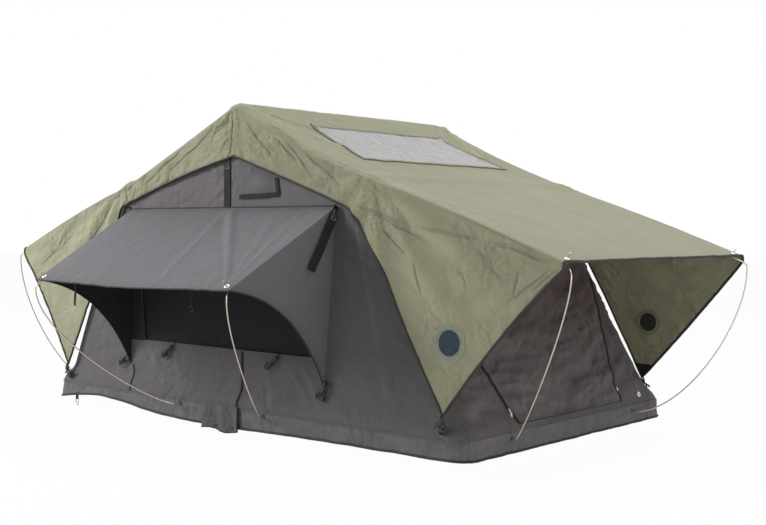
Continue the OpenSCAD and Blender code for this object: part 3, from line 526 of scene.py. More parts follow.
def noise(u, v, seed):
    """Smooth noise between about -1 and 1 over two arrays, the same each run."""
    cell_u, cell_v = np.floor(u), np.floor(v)
    part_u, part_v = u - cell_u, v - cell_v

    def corner(du, dv):
        turn = np.sin((cell_u + du) * 127.1 + (cell_v + dv) * 311.7 + seed * 74.7) * 43758.5453
        angle = (turn - np.floor(turn)) * 2 * np.pi
        return np.cos(angle) * (part_u - du) + np.sin(angle) * (part_v - dv)

    fade_u = part_u ** 3 * (part_u * (part_u * 6 - 15) + 10)
    fade_v = part_v ** 3 * (part_v * (part_v * 6 - 15) + 10)
    first = mix(corner(0, 0), corner(1, 0), fade_u)
    second = mix(corner(0, 1), corner(1, 1), fade_u)
    return 1.5 * mix(first, second, fade_v)


def rumple(u, v, angle, length, width, seed):
    """Soft wrinkles that run along an angle in degrees, longer than they are wide."""
    turn = math.radians(angle)
    run = u * math.cos(turn) + v * math.sin(turn)
    cross = v * math.cos(turn) - u * math.sin(turn)
    bend = 0.35 * noise(run / length, cross / length, seed + 11)
    broad = noise(run / length, cross / width + bend, seed)
    sharp = 1 - 2 * np.abs(noise(run / length * 1.7, cross / width * 1.7 + bend, seed + 5))
    return 0.6 * broad + 0.4 * sharp


def wrinkles(u, v, kinds, seed=0):
    """Several kinds of wrinkles together."""
    return sum(depth * rumple(u, v, *kind, seed + step) for depth, *kind, step in kinds)


def pull(u, v, start, end, width):
    """A taut crease between two points: a raised line that fades out at both ends."""
    start, end = np.array(start, float), np.array(end, float)
    line = end - start
    length = np.hypot(*line)
    run = ((u - start[0]) * line[0] + (v - start[1]) * line[1]) / length
    cross = ((v - start[1]) * line[0] - (u - start[0]) * line[1]) / length
    share = run / length
    taper = ease(share / 0.15 + 0.2) * ease((1.12 - share) / 0.3)
    spread = width * (0.5 + np.clip(share, 0, 1))
    ratio = (cross / spread) ** 2
    return taper * (1 - ratio) * np.exp(-ratio)


def smooth_line(points, count):
    """A curve through the points, each stretch split evenly."""
    points = np.array(points, float)
    ends = np.concatenate([2 * points[:1] - points[1:2], points, 2 * points[-1:] - points[-2:-1]])
    t = np.linspace(0, 1, count, endpoint=False)[:, None]
    runs = []
    for p, q, r, s in zip(ends, ends[1:], ends[2:], ends[3:]):
        runs.append(q + 0.5 * t * (r - p + t * (2 * p - 5 * q + 4 * r - s + t * (3 * (q - r) + s - p))))
    return np.concatenate(runs + [points[-1:]])


def bezier(p, q, r, s, count):
    t = np.linspace(0, 1, count)[:, None]
    return (1 - t) ** 3 * p + 3 * t * (1 - t) ** 2 * q + 3 * t * t * (1 - t) * r + t ** 3 * s


# Piece helpers
def choose(piece):
    bpy.ops.object.select_all(action="DESELECT")
    piece.select_set(True)
    bpy.context.view_layer.objects.active = piece


def new_object(name, data):
    piece = bpy.data.objects.new(name, data)
    bpy.context.scene.collection.objects.link(piece)
    return piece


def shape_with(piece, kind, **settings):
    """Adds one modifier to a piece and applies it."""
    choose(piece)
    modifier = piece.modifiers.new(kind.lower(), kind)
    for key, value in settings.items():
        setattr(modifier, key, value)
    bpy.ops.object.modifier_apply(modifier=modifier.name)
    return piece


def smooth(piece, angle=50):
    choose(piece)
    bpy.ops.object.shade_smooth_by_angle(angle=math.radians(angle))
    return piece


def join(pieces, name):
    """Makes one piece of several meshes."""
    choose(pieces[0])
    for piece in pieces[1:]:
        piece.select_set(True)
    bpy.ops.object.join()
    pieces[0].name = name
    pieces[0].data.name = name
    return pieces[0]


def paint_uv(mesh, name, pairs):
    """Stores one pair of numbers per point as a UV map."""
    corners = np.zeros(len(mesh.loops), np.int32)
    mesh.loops.foreach_get("vertex_index", corners)
    layer = mesh.uv_layers.new(name=name)
    layer.data.foreach_set("uv", np.asarray(pairs, np.float32)[corners].ravel())


def paint(mesh, name, values, domain="POINT"):
    """Stores one number per point or face."""
    layer = mesh.attributes.new(name, "FLOAT", domain)
    layer.data.foreach_set("value", values.astype(np.float32).ravel())


def cloth_grid(name, points, fold=None, hem=None, slack=None):
    """A sheet over a grid of points, with its lengths, hem, depth of folds and slackness stored on it."""
    rows, cols = points.shape[:2]
    index = np.arange(rows * cols).reshape(rows, cols)
    quads = np.stack([index[:-1, :-1], index[1:, :-1], index[1:, 1:], index[:-1, 1:]], -1).reshape(-1, 4)
    mesh = bpy.data.meshes.new(name)
    mesh.from_pydata((points.reshape(-1, 3) + (HINGE_X, 0, 0)).tolist(), [], quads.tolist())
    along = np.linalg.norm(np.diff(points, axis=0), axis=-1).mean(1).cumsum()
    across = np.linalg.norm(np.diff(points, axis=1), axis=-1).mean(0).cumsum()
    grid = np.meshgrid(np.append(0, along), np.append(0, across), indexing="ij")
    paint_uv(mesh, "weave", np.stack(grid, -1).reshape(-1, 2))
    if hem is None:
        hem = np.stack([grid[0], np.minimum(grid[1], across[-1] - grid[1])], -1)
    paint_uv(mesh, "hem", hem.reshape(-1, 2))
    paint(mesh, "fold", np.zeros((rows, cols)) if fold is None else fold)
    paint(mesh, "slack", np.ones((rows, cols)) if slack is None else slack)
    return new_object(name, mesh)


def cut_opening(piece, corners, axes, side=None):
    """Cuts a straight-sided opening out of a sheet; corners are given in two of its directions."""
    first, second = axes
    corners = [Vector((HINGE_X + a if first == 0 else a, b)) for a, b in corners]
    middle = sum(corners, Vector((0, 0))) / len(corners)
    reach = max((c - middle).length for c in corners) + 0.05
    sheet = bmesh.new()
    sheet.from_mesh(piece.data)

    def spot(face):
        centre = face.calc_center_median()
        return Vector((centre[first], centre[second]))

    def allowed(face):
        return side is None or side(face.calc_center_median())

    walls = []
    for a, b in zip(corners, corners[1:] + corners[:1]):
        outward = Vector((b.y - a.y, a.x - b.x)).normalized()
        if outward.dot(a - middle) < 0:
            outward.negate()
        walls.append((a, outward))
        faces = [f for f in sheet.faces if (spot(f) - middle).length < reach and allowed(f)]
        edges = list({edge for face in faces for edge in face.edges})
        verts = list({vert for face in faces for vert in face.verts})
        plane_point, plane_normal = Vector((0, 0, 0)), Vector((0, 0, 0))
        plane_point[first], plane_point[second] = a
        plane_normal[first], plane_normal[second] = outward
        bmesh.ops.bisect_plane(sheet, geom=faces + edges + verts, plane_co=plane_point, plane_no=plane_normal)
    inside = []
    for face in sheet.faces:
        place = spot(face)
        if all((place - a).dot(outward) < 0 for a, outward in walls) and allowed(face):
            inside.append(face)
    bmesh.ops.delete(sheet, geom=inside, context="FACES")
    sheet.to_mesh(piece.data)
    sheet.free()


def tube(name, points, radius, closed=False):
    """A round cord, rod or piping along a line of points."""
    curve = bpy.data.curves.new(name, "CURVE")
    curve.dimensions = "3D"
    curve.bevel_depth = radius
    curve.bevel_resolution = 2
    curve.use_fill_caps = not closed
    spline = curve.splines.new("POLY")
    spline.points.add(len(points) - 1)
    for spot, (x, y, z) in zip(spline.points, points):
        spot.co = (HINGE_X + x, y, z, 1)
    spline.use_cyclic_u = closed
    choose(new_object(name, curve))
    bpy.ops.object.convert(target="MESH")
    return bpy.context.object


def ribbon(name, points, facing, width, thick=STRAP):
    """A flat strap along a line of points, with its face turned one way."""
    line = np.array(points, float)
    across = np.cross(np.gradient(line, axis=0), np.asarray(facing, float))
    across /= np.linalg.norm(across, axis=1)[:, None]
    rows = np.stack([line + across * width * share for share in (-0.5, -0.25, 0, 0.25, 0.5)], 1)
    return shape_with(cloth_grid(name, rows), "SOLIDIFY", thickness=thick, offset=0)


def drop(x, y, high, low, count):
    """Points straight down from one height to another."""
    z = np.linspace(high, low, count)
    return np.stack([x + 0 * z, y + 0 * z, z], -1)


def ring(name, centre, facing, radius, thick):
    """A round ring about a point, its hole facing one way."""
    turn = Vector((0, 0, 1)).rotation_difference(Vector(facing))
    bpy.ops.object.select_all(action="DESELECT")
    bpy.ops.mesh.primitive_torus_add(
        major_segments=32, minor_segments=10, major_radius=radius, minor_radius=thick,
        location=at(*centre), rotation=turn.to_euler(),
    )
    piece = bpy.context.object
    piece.name = name
    bpy.ops.object.transform_apply(location=True, rotation=True, scale=True)
    return piece


def moulding(name, centre, size, bevel, turn=0.0):
    """A small moulded block with rounded edges, turned about the upright by an angle in degrees."""
    bpy.ops.object.select_all(action="DESELECT")
    bpy.ops.mesh.primitive_cube_add(size=1, location=at(*centre), rotation=(0, 0, math.radians(turn)))
    piece = bpy.context.object
    piece.name = name
    piece.scale = size
    bpy.ops.object.transform_apply(location=True, rotation=True, scale=True)
    return shape_with(piece, "BEVEL", width=bevel, segments=3, limit_method="NONE")


def fold_with_base(piece):
    """Bakes a cloth piece's placement into its mesh."""
    at(-0.01, 0, HINGE_Z)
    at(0.01, 0, HINGE_Z)
    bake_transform(piece)


def gather_with_base(piece):
    """Attaches an awning piece to the awning's body and gives it a mesh of its own."""
    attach(piece, "awning")
    at(0, 0, 0)
    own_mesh(piece)


def set_material(piece, material):
    piece.data.materials.clear()
    piece.data.materials.append(material)


def dress(piece, material, body="canvas", replaces=()):
    """Gives a finished piece its material, and the body that it moves with; canvas pieces only get their
    placement baked into the mesh.
    """
    set_material(piece, material)
    if replaces:
        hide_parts(*replaces)
    if body == "canvas":
        fold_with_base(piece)
    elif body == "awning":
        gather_with_base(piece)
    else:
        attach(piece, body)
    return piece


def sew_webbing(piece, body="canvas", replaces=()):
    return dress(smooth(piece), WEBBING, body, replaces)


def sew_piping(name, line, radius, body="canvas", closed=False):
    return dress(smooth(tube(name, line, radius, closed)), PIPING, body)


def finish_sheet(piece, material, replaces=(), body="canvas", thick=CLOTH,
                 shade_inside=False):
    count = len(piece.data.polygons)
    lengths = np.zeros(len(piece.data.loops) * 2, np.float32)
    piece.data.uv_layers["weave"].data.foreach_get("uv", lengths)
    shape_with(piece, "SOLIDIFY", thickness=thick, offset=-1)
    # Painted shade: the inner faces are flagged to take a near-black colour
    if shade_inside:
        inner = np.zeros(len(piece.data.polygons))
        inner[count:2 * count] = 1
        paint(piece.data, "lining", inner, "FACE")
    smooth(piece)
    dress(piece, material, body, replaces)


# Shader helpers
class Field:
    """A value that changes over a surface; sums and products of fields become shader nodes."""

    def __init__(self, tree, socket):
        self.tree = tree
        self.socket = socket

    def calc(self, operation, *others):
        return field(self.tree, "Math", dict(enumerate((self, *others))), operation=operation)

    def __add__(self, other):
        return self.calc("ADD", other)

    def __sub__(self, other):
        return self.calc("SUBTRACT", other)

    def __rsub__(self, other):
        return field(self.tree, "Math", {0: other, 1: self}, operation="SUBTRACT")

    def __mul__(self, other):
        return self.calc("MULTIPLY", other)

    def __truediv__(self, other):
        return self.calc("DIVIDE", other)

    def at_least(self, low):
        return self.calc("MAXIMUM", low)

    def at_most(self, high):
        return self.calc("MINIMUM", high)

    def under(self, limit):
        """1 where the field is below a limit, 0 elsewhere."""
        return self.calc("LESS_THAN", limit)


def plug(node, sockets):
    """Puts values or fields on a node's sockets."""
    for key, value in sockets.items():
        if isinstance(value, Field):
            value.tree.links.new(value.socket, node.inputs[key])
        else:
            node.inputs[key].default_value = value


def wire(tree, kind, sockets, **settings):
    """Adds a shader node, with its settings and with values or fields on its sockets."""
    node = tree.nodes.new("ShaderNode" + kind)
    for key, value in settings.items():
        setattr(node, key, value)
    plug(node, sockets)
    return node


def outputs(tree, kind, sockets, labels, **settings):
    """Named outputs of a new shader node."""
    node = wire(tree, kind, sockets, **settings)
    return [Field(tree, node.outputs[label]) for label in labels]


def field(tree, kind, sockets, label=0, **settings):
    """One output of a new shader node."""
    return outputs(tree, kind, sockets, [label], **settings)[0]


def vector(tree, operation, sockets, label=0):
    return field(tree, "VectorMath", sockets, label, operation=operation)


def here(tree):
    """The place on the object."""
    return field(tree, "TexCoord", {}, "Object")


def stored(tree, name):
    """A number that is stored on the piece."""
    return field(tree, "Attribute", {}, "Fac", attribute_name=name)


def lengths_along(tree, name):
    """Both lengths of a UV map."""
    place = field(tree, "UVMap", {}, "UV", uv_map=name)
    return outputs(tree, "SeparateXYZ", {0: place}, ["X", "Y"])


def tint(colour, amount):
    """A colour made lighter or darker by an amount that changes over the surface."""
    return vector(amount.tree, "SCALE", {0: colour, "Scale": amount})


def blend_colours(share, first, second):
    """A fixed colour laid over another one by a share."""
    node = wire(share.tree, "Mix", {"Factor": share}, data_type="RGBA")
    places = [index for index, socket in enumerate(node.inputs) if socket.type == "RGBA"]
    plug(node, {places[0]: first, places[1]: (*second, 1)})
    return Field(share.tree, next(socket for socket in node.outputs if socket.type == "RGBA"))


def bump(height, strength, distance, **below):
    sockets = {"Height": height, "Strength": strength, "Distance": distance, **below}
    return field(height.tree, "Bump", sockets, "Normal")


def new_group(name, inputs, labels):
    """An empty shader group: its tree, its inputs as fields and its output node."""
    tree = bpy.data.node_groups.new(name, "ShaderNodeTree")
    for label, value in inputs.items():
        kind = "NodeSocketColor" if label == "Colour" else "NodeSocketFloat"
        tree.interface.new_socket(label, in_out="INPUT", socket_type=kind).default_value = value
    for label in labels:
        kind = "NodeSocketColor" if label == "Colour" else "NodeSocketFloat"
        tree.interface.new_socket(label, in_out="OUTPUT", socket_type=kind)
    given = {socket.name: Field(tree, socket) for socket in tree.nodes.new("NodeGroupInput").outputs}
    return tree, given, tree.nodes.new("NodeGroupOutput")


def object_noise(tree, scale, detail, stretch=(1, 1, 1)):
    """Noise fixed to the object, stretched if asked."""
    place = field(tree, "Mapping", {"Vector": here(tree), "Scale": stretch}, "Vector")
    return field(tree, "TexNoise", {"Vector": place, "Scale": scale, "Detail": detail}, "Fac") - 0.5


def sway(tree, place, scale, reach):
    """A soft shift that makes straight lines run unevenly."""
    drift = field(tree, "TexNoise", {"Vector": place, "Scale": scale, "Detail": 2.0}, "Color")
    return vector(tree, "SCALE", {0: drift, "Scale": reach})


def facets(tree, scale, tilt, stretch):
    """Distance to the nearest crease of crumpled cloth, drawn out along a tilt down both slopes."""
    place = vector(tree, "SUBTRACT", {0: here(tree), 1: (HINGE_X, 0, 0)})
    mirrored = vector(tree, "ABSOLUTE", {0: place})
    warped = vector(tree, "ADD", {0: mirrored, 1: sway(tree, place, 7.0, 0.06)})
    drawn = {"Vector": warped, "Scale": (stretch, 1, 1), "Rotation": (0, math.radians(tilt), 0)}
    turned = field(tree, "Mapping", drawn, "Vector", vector_type="TEXTURE")
    cells = {"Vector": turned, "Scale": scale}
    return field(tree, "TexVoronoi", cells, "Distance", feature="DISTANCE_TO_EDGE")


# Weave: share of a ripstop square that its line takes, how much lines and threads lighten the cloth
SQUARE_LINE = 0.12
SQUARE_SHADE = 0.045
THREAD_SHADE = 0.03
WEAVE_STRENGTH = 0.45
WEAVE_DEPTH = 0.0006
# Stitches: share of their pitch that the thread takes, and how far they stand up
STITCH_SHARE = 0.66
STITCH_RISE = 1.5
# Long pulled creases: how deep they are, and how dark their painted shade is
PULLED_DEPTH = 0.16
PULLED_PAINTED_SHADE = 0.11
CREASE_STRENGTH = 0.8
# Calm and busy areas of creases: contrast, middle and least
BUSY_CONTRAST = 3.4
BUSY_MIDDLE = 0.48
BUSY_LEAST = 0.05
# Crumpled facets: their scale, share, tilt in degrees and how far they are drawn out
FACETS = ((10.0, 1.0, 26, 2.4), (17.0, 0.55, 58, 2.0), (30.0, 0.25, -15, 1.6))
FACET_DEPTH = 0.22
# Width of a painted shade line along a crease for each unit of facet scale, and how dark that painted shade
# is
FACET_LINE = 0.0030
FACET_PAINTED_SHADE = 0.13


def woven_group():
    """Threads, ripstop squares, uneven dye, creases, painted shade in fold bottoms and painted light on fold
    tops, and painted shade along crease lines, for every cloth.
    """
    inputs = {"Colour": (0.5, 0.5, 0.5, 1), "Square": 0.006, "Thread": 0.0011, "Unevenness": 0.2,
              "Fold shade": 0.1, "Marks": 1.0}
    tree, given, put = new_group("woven cloth", inputs, ["Colour", "Roughness", "Height", "Crease"])
    lengths = lengths_along(tree, "weave")
    waves = [(length / given["Thread"] * (2 * math.pi)).calc("SINE") for length in lengths]
    lines = [(length / given["Square"]).calc("FRACT").under(SQUARE_LINE) for length in lengths]
    threads = waves[0] * waves[1]
    squares = lines[0].at_least(lines[1])
    broad = object_noise(tree, 2.4, 4)
    fine = object_noise(tree, 70, 3)
    uneven = broad * given["Unevenness"] + fine * (given["Unevenness"] * 0.6)
    # Painted shade and light from the stored fold depth: fold bottoms darker, fold tops lighter
    shade = uneven + stored(tree, "fold") * given["Fold shade"] + squares * SQUARE_SHADE
    shade = shade + threads * THREAD_SHADE
    busy = object_noise(tree, 4.0, 2) * BUSY_CONTRAST + BUSY_MIDDLE
    busy = busy.at_least(BUSY_LEAST).at_most(1.0) * stored(tree, "slack")
    depths, painted_crease_shade = [], []
    for scale, share, tilt, stretch in FACETS:
        away = facets(tree, scale, tilt, stretch)
        depths.append(away.at_most(FACET_DEPTH) * share)
        # Painted shade: thin dark lines along the facets' edges, where the creases fall
        painted_crease_shade.append((1.0 - away / (FACET_LINE * scale)).at_least(0.0) * (FACET_PAINTED_SHADE * share))
    shade = shade - sum(painted_crease_shade[1:], painted_crease_shade[0]) * busy * given["Marks"]
    plug(put, {
        "Colour": tint(given["Colour"], shade + 1.0),
        "Roughness": fine * 0.22 + 0.76,
        "Height": threads * 0.35 + squares * 0.5 + fine * 0.8,
        "Crease": sum(depths[1:], depths[0]) * busy,
    })
    return tree


def crease_group():
    """Long creases pulled into the near side of a cloth between pairs of points; each line is both a dip in
    the cloth and painted shade.
    """
    tree, _, put = new_group("pulled creases", {}, ["Line"])
    place = here(tree)
    place = vector(tree, "ADD", {0: place, 1: sway(tree, place, 6.0, CREASE_SWAY)})
    near_side = field(tree, "SeparateXYZ", {0: place}, "Y").under(0.0)
    creases = []
    for first_x, first_z, last_x, last_z in FLY_CREASES:
        start = at(first_x + CREASE_SWAY / 2, 0, first_z + CREASE_SWAY / 2)
        line = Vector((last_x - first_x, 0, last_z - first_z))
        away = vector(tree, "SUBTRACT", {0: place, 1: start})
        flat = vector(tree, "MULTIPLY", {0: away, 1: (1, 0, 1)})
        share = vector(tree, "DOT_PRODUCT", {0: flat, 1: line / line.length_squared}, "Value")
        share = share.at_least(0.0).at_most(1.0)
        foot = vector(tree, "SCALE", {0: line, "Scale": share})
        gap = vector(tree, "DISTANCE", {0: flat, 1: foot}, "Value")
        close = (1.0 - gap / CREASE_WIDTH).at_least(0.0)
        fade = (share * (1.0 - share) * 5.0).at_most(1.0)
        creases.append(close * fade)
    plug(put, {"Line": functools.reduce(Field.at_least, creases) * near_side})
    return tree


def stitch_group():
    """A row of stitches at a set distance from the hem."""
    tree, given, put = new_group("stitch row", {"Offset": 0.012, "Pitch": 0.005, "Width": 0.0011}, ["Mask"])
    along, edge = lengths_along(tree, "hem")
    row = (edge - given["Offset"]).calc("ABSOLUTE").under(given["Width"])
    dash = (along / given["Pitch"]).calc("FRACT").under(STITCH_SHARE)
    plug(put, {"Mask": row * dash})
    return tree


def grain_group():
    """Fine grain and broad scuffs for metals and moulded pieces."""
    inputs = {"Colour": (0.5, 0.5, 0.5, 1), "Grain": 400.0, "Unevenness": 0.15, "Roughness": 0.4}
    tree, given, put = new_group("grain and scuffs", inputs, ["Colour", "Roughness", "Height"])
    grain = object_noise(tree, given["Grain"], 2.0, (0.15, 1, 1))
    both = grain + object_noise(tree, 14, 5)
    plug(put, {
        "Colour": tint(given["Colour"], both * given["Unevenness"] + 1.0),
        "Roughness": given["Roughness"] + both * 0.25,
        "Height": grain,
    })
    return tree


WOVEN = woven_group()
CREASES = crease_group()
STITCH = stitch_group()
GRAIN = grain_group()


def new_material(name):
    material = bpy.data.materials.new(name)
    material.use_nodes = True
    return material, material.node_tree, material.node_tree.nodes["Principled BSDF"]


def cloth_material(name, colour, square, unevenness, painted_fold_shade, sheen, crease=0.006, painted_crease_shade=1.0,
                   stitches=(), thread=None, lining=None, upper=None, pulled=False):
    """A woven cloth; stitches says how far from its hem the rows of thread run."""
    material, tree, surface = new_material(name)
    base = (*colour, 1)
    # Painted shade: the colour turns darker with height, towards the upper colour
    if upper:
        rise = field(tree, "SeparateXYZ", {0: here(tree)}, "Z")
        span = {"Value": rise, "From Min": UPPER_SHADE_START_Z, "From Max": UPPER_SHADE_FULL_Z}
        base = blend_colours(field(tree, "MapRange", span, "Result"), base, upper)
    woven = {"Colour": base, "Square": square, "Unevenness": unevenness, "Fold shade": painted_fold_shade,
             "Marks": painted_crease_shade}
    labels = ["Colour", "Roughness", "Height", "Crease"]
    shown, rough, height, depth = outputs(tree, "Group", woven, labels, node_tree=WOVEN)
    for offset in stitches:
        row = field(tree, "Group", {"Offset": offset}, "Mask", node_tree=STITCH)
        shown = blend_colours(row, shown, thread)
        height = height + row * STITCH_RISE
    # Painted shade on the inner faces
    if lining:
        shown = blend_colours(stored(tree, "lining"), shown, lining)
    if pulled:
        line = field(tree, "Group", {}, "Line", node_tree=CREASES)
        depth = depth - line * PULLED_DEPTH
        # Painted shade along the pulled creases
        shown = tint(shown, 1.0 - line * PULLED_PAINTED_SHADE)
    creased = bump(depth, CREASE_STRENGTH, crease)
    woven_over = bump(height, WEAVE_STRENGTH, WEAVE_DEPTH, Normal=creased)
    plug(surface, {
        "Base Color": shown, "Roughness": rough, "Normal": woven_over,
        "Sheen Weight": sheen, "Sheen Roughness": 0.5, "Specular IOR Level": 0.25,
    })
    return material


def grained_material(name, colour, roughness, grain, metallic=0.0, unevenness=0.15, depth=0.0002):
    """A metal or moulded plastic with grain and scuffs."""
    material, tree, surface = new_material(name)
    made = {"Colour": (*colour, 1), "Grain": grain, "Unevenness": unevenness, "Roughness": roughness}
    shown, rough, height = outputs(tree, "Group", made, ["Colour", "Roughness", "Height"], node_tree=GRAIN)
    plug(surface, {"Base Color": shown, "Roughness": rough, "Normal": bump(height, 0.3, depth),
                   "Metallic": metallic})
    return material


def clear_material():
    """Soft see-through sheet, milky with fine scratches."""
    material, tree, surface = new_material("milky clear sheet")
    streaks = object_noise(tree, 30, 4, (0.3, 1, 1))
    plug(surface, {
        "Base Color": tint((0.35, 0.345, 0.34), streaks * 0.35 + 1.0), "Roughness": streaks * 0.4 + 0.32,
        "Alpha": streaks * 0.4 + 0.84, "Normal": bump(streaks, 0.4, 0.002),
    })
    return material


# Cloths: square of the ripstop, unevenness of the dye, painted shade of the folds and sheen follow the colour
DARK_THREAD = (0.035, 0.035, 0.035)
FLY = cloth_material(
    "sage fly cloth", (0.238, 0.235, 0.148), 0.007, 0.12, 0.20, 0.30, crease=0.060,
    stitches=(0.010,), thread=(0.17, 0.165, 0.10), pulled=True,
)
CANVAS = cloth_material(
    "grey body canvas", (0.094, 0.086, 0.089), 0.006, 0.16, 0.20, 0.15, crease=0.024,
    painted_crease_shade=0.5, stitches=(0.010,), thread=DARK_THREAD,
)
# The end canvas's upper colour is painted shade, dark and brownish under the fly
END_CANVAS = cloth_material(
    "brown grey end canvas", (0.098, 0.092, 0.092), 0.006, 0.16, 0.17, 0.15, crease=0.022,
    painted_crease_shade=0.45, stitches=(0.010,), thread=DARK_THREAD, upper=(0.066, 0.045, 0.044),
)
# The awning's inner faces are painted near-black: painted shade under the awning and inside its cheeks
AWNING = cloth_material(
    "light awning canvas", (0.110, 0.105, 0.115), 0.006, 0.12, 0.12, 0.2, crease=0.010,
    painted_crease_shade=0.25, stitches=(0.012, 0.022), thread=(0.05, 0.05, 0.055), lining=(0.008, 0.008, 0.008),
)
SKIRT = cloth_material("skirt cloth", (0.114, 0.111, 0.111), 0.005, 0.2, 0.16, 0.15,
                       crease=0.034)
FLAP = cloth_material("hinge flap cloth", (0.090, 0.085, 0.084), 0.006, 0.16, 0.20, 0.15,
                      crease=0.030)
COVER = cloth_material("mattress cover", (0.11, 0.11, 0.12), 0.012, 0.2, 0.1, 0.35)
# The mesh is opaque: its near-black is its own colour and also painted shade for the dark inside of the tent
# behind it
MESH = cloth_material("black insect mesh", (0.006, 0.006, 0.006), 0.0016, 0.3, 0.05, 0.03,
                      crease=0.002)
WEBBING = cloth_material("black webbing", (0.008, 0.008, 0.009), 0.003, 0.3, 0.05, 0.06,
                         crease=0.001)
PATCH = cloth_material("plain round patch", (0.018, 0.040, 0.050), 0.003, 0.2, 0.05, 0.03,
                       crease=0.004)
PATCH_RIM = cloth_material("patch rim", (0.215, 0.222, 0.165), 0.003, 0.2, 0.05, 0.2,
                           crease=0.004, stitches=(0.0035,), thread=(0.36, 0.37, 0.30))
DARK_PATCH = cloth_material("dark round patch", (0.014, 0.014, 0.012), 0.003, 0.2, 0.05, 0.2,
                            crease=0.004)
DARK_RIM = cloth_material("dark patch rim", (0.20, 0.197, 0.125), 0.003, 0.2, 0.05, 0.2,
                          crease=0.004, stitches=(0.0035,), thread=(0.06, 0.06, 0.045))

# Trim and metals: roughness, scale of the grain and metal share follow the colour
PIPING = grained_material("black piping", (0.009, 0.009, 0.009), 0.7, 300)
PLASTIC = grained_material("moulded black nylon", (0.012, 0.012, 0.013), 0.55, 500)
ELASTIC = grained_material("black elastic", (0.013, 0.013, 0.013), 0.7, 700, depth=0.0004)
THREAD = grained_material("pale thread", (0.30, 0.30, 0.29), 0.7, 900)
ALLOY = grained_material("mill alloy", (0.68, 0.69, 0.70), 0.38, 260, 1.0)
PANEL = grained_material("panel skin", (0.70, 0.71, 0.72), 0.42, 180, 1.0)
ZINC = grained_material("zinc steel", (0.60, 0.58, 0.55), 0.32, 320, 1.0)
TUBE = grained_material("drawn tube", (0.66, 0.67, 0.69), 0.30, 420, 1.0)
NICKEL = grained_material("nickel eyelet", (0.76, 0.75, 0.73), 0.16, 300, 1.0, 0.08)
ROD = grained_material("spring rod", (0.56, 0.50, 0.40), 0.30, 380, 0.85, 0.2)
CLEAR = clear_material()


# Rain fly
def fly_top(x):
    """Height of the fly's roof over a place along the tent."""
    away = np.abs(x)
    share = np.clip((away - FLY_KINK_X) / (FLY_REACH - FLY_KINK_X), 0, 1)
    over_ridge = np.sqrt(away ** 2 + RIDGE_ROUND ** 2) - RIDGE_ROUND
    hang = by_half(x, ROOF_HANG) * np.sin(np.pi * away / FLY_KINK_X)
    inner = mix(FLY_RIDGE_Z + FLY_RIDGE_LIFT, FLY_KINK_Z, over_ridge / FLY_KINK_X) - hang
    outer = mix(FLY_KINK_Z, FLY_END_Z, share) + by_half(x, END_BULGE) * arch(share)
    over_hoop = by_half(x, HOOP_RISE) * bell((away - FLY_KINK_X) / HOOP_SPREAD)
    return np.where(away < FLY_KINK_X, inner, outer) + over_hoop


def tip_x(x):
    """Place of the flaps' tips on the half that a point is on."""
    return by_half(x, (FIXED_TIP_X, TIP_X))


def fly_hem(x, side):
    """Height of a flap's lower edge over a place along the tent."""
    away, tip = np.abs(x), tip_x(x)
    fixed, flip = (smooth_line(line, 10).T for line in (FIXED_HEM, FLIP_HEM if side < 0 else FAR_HEM))
    falling = by_half(x, (np.interp(away, *fixed), np.interp(away, *flip)))
    up = np.clip((away - tip) / (FLY_REACH - tip), 0, 1)
    rising = mix(TIP_Z, END_HEM_Z, up) + END_BOW[side] * arch(up)
    return np.where(away < tip, falling, rising)


def flap_folds(x, below, flap):
    """How far a side flap's cloth stands out, from its folds and wrinkles."""
    seed = FLAP_SEEDS[flap]
    out = wrinkles(x, below, FLAP_WRINKLES, seed)
    for half, depth in FAN_DEPTHS[flap].items():
        away = half * x - FLY_KINK_X
        reach = np.hypot(away, below)
        angle = np.arctan2(away, below + 0.03)
        fan = np.sin(angle * FAN_RAYS + FAN_UNEVENNESS * noise(angle * 2, reach * 3, seed + 3))
        window = ease(reach / FAN_START) * ease((FAN_END - reach) / FAN_FADE)
        out = out + depth * fan * window * (half * x > FLY_KINK_X - FAN_LEAD)
    return out + bell(below / FLAP_TOP_REACH) * wrinkles(x, below, FLAP_TOP_WRINKLES, seed)


def flap_out(x, below, flap):
    """Folds of a side flap, and how far out it hangs with them, at a depth below the roof."""
    fall = np.clip(below / (fly_top(tip_x(x)) - TIP_Z), 0, 1)
    folds = flap_folds(x, below, flap) * ease(below / FLAP_TURN)
    folds = np.where(folds < 0, INWARD_FOLDS * folds, folds)
    return folds, folds + TIP_OUT * fall


def roof_folds(x, y):
    """Small wrinkles of the fly's roof: pulls from the ridge corners and slack near the ends."""
    lift = wrinkles(x, y, ROOF_WRINKLES)
    for side, slope in ((-1, -1), (-1, 1), (1, -1), (1, 1)):
        for run, cross in RIDGE_PULLS:
            start = (slope * RIDGE_PULL_INSET, side * (FLY_HALF - RIDGE_PULL_INSET))
            end = (slope * run, side * (FLY_HALF - cross))
            lift = lift + RIDGE_PULL_DEPTH * pull(x, y, start, end, RIDGE_PULL_WIDTH)
        for run, cross in HOOP_PULLS:
            start = (slope * FLY_KINK_X, side * (FLY_HALF - HOOP_PULL_INSET))
            end = (slope * (FLY_KINK_X + run), side * (FLY_HALF - cross))
            lift = lift + HOOP_PULL_DEPTH * pull(x, y, start, end, HOOP_PULL_WIDTH)
    return lift


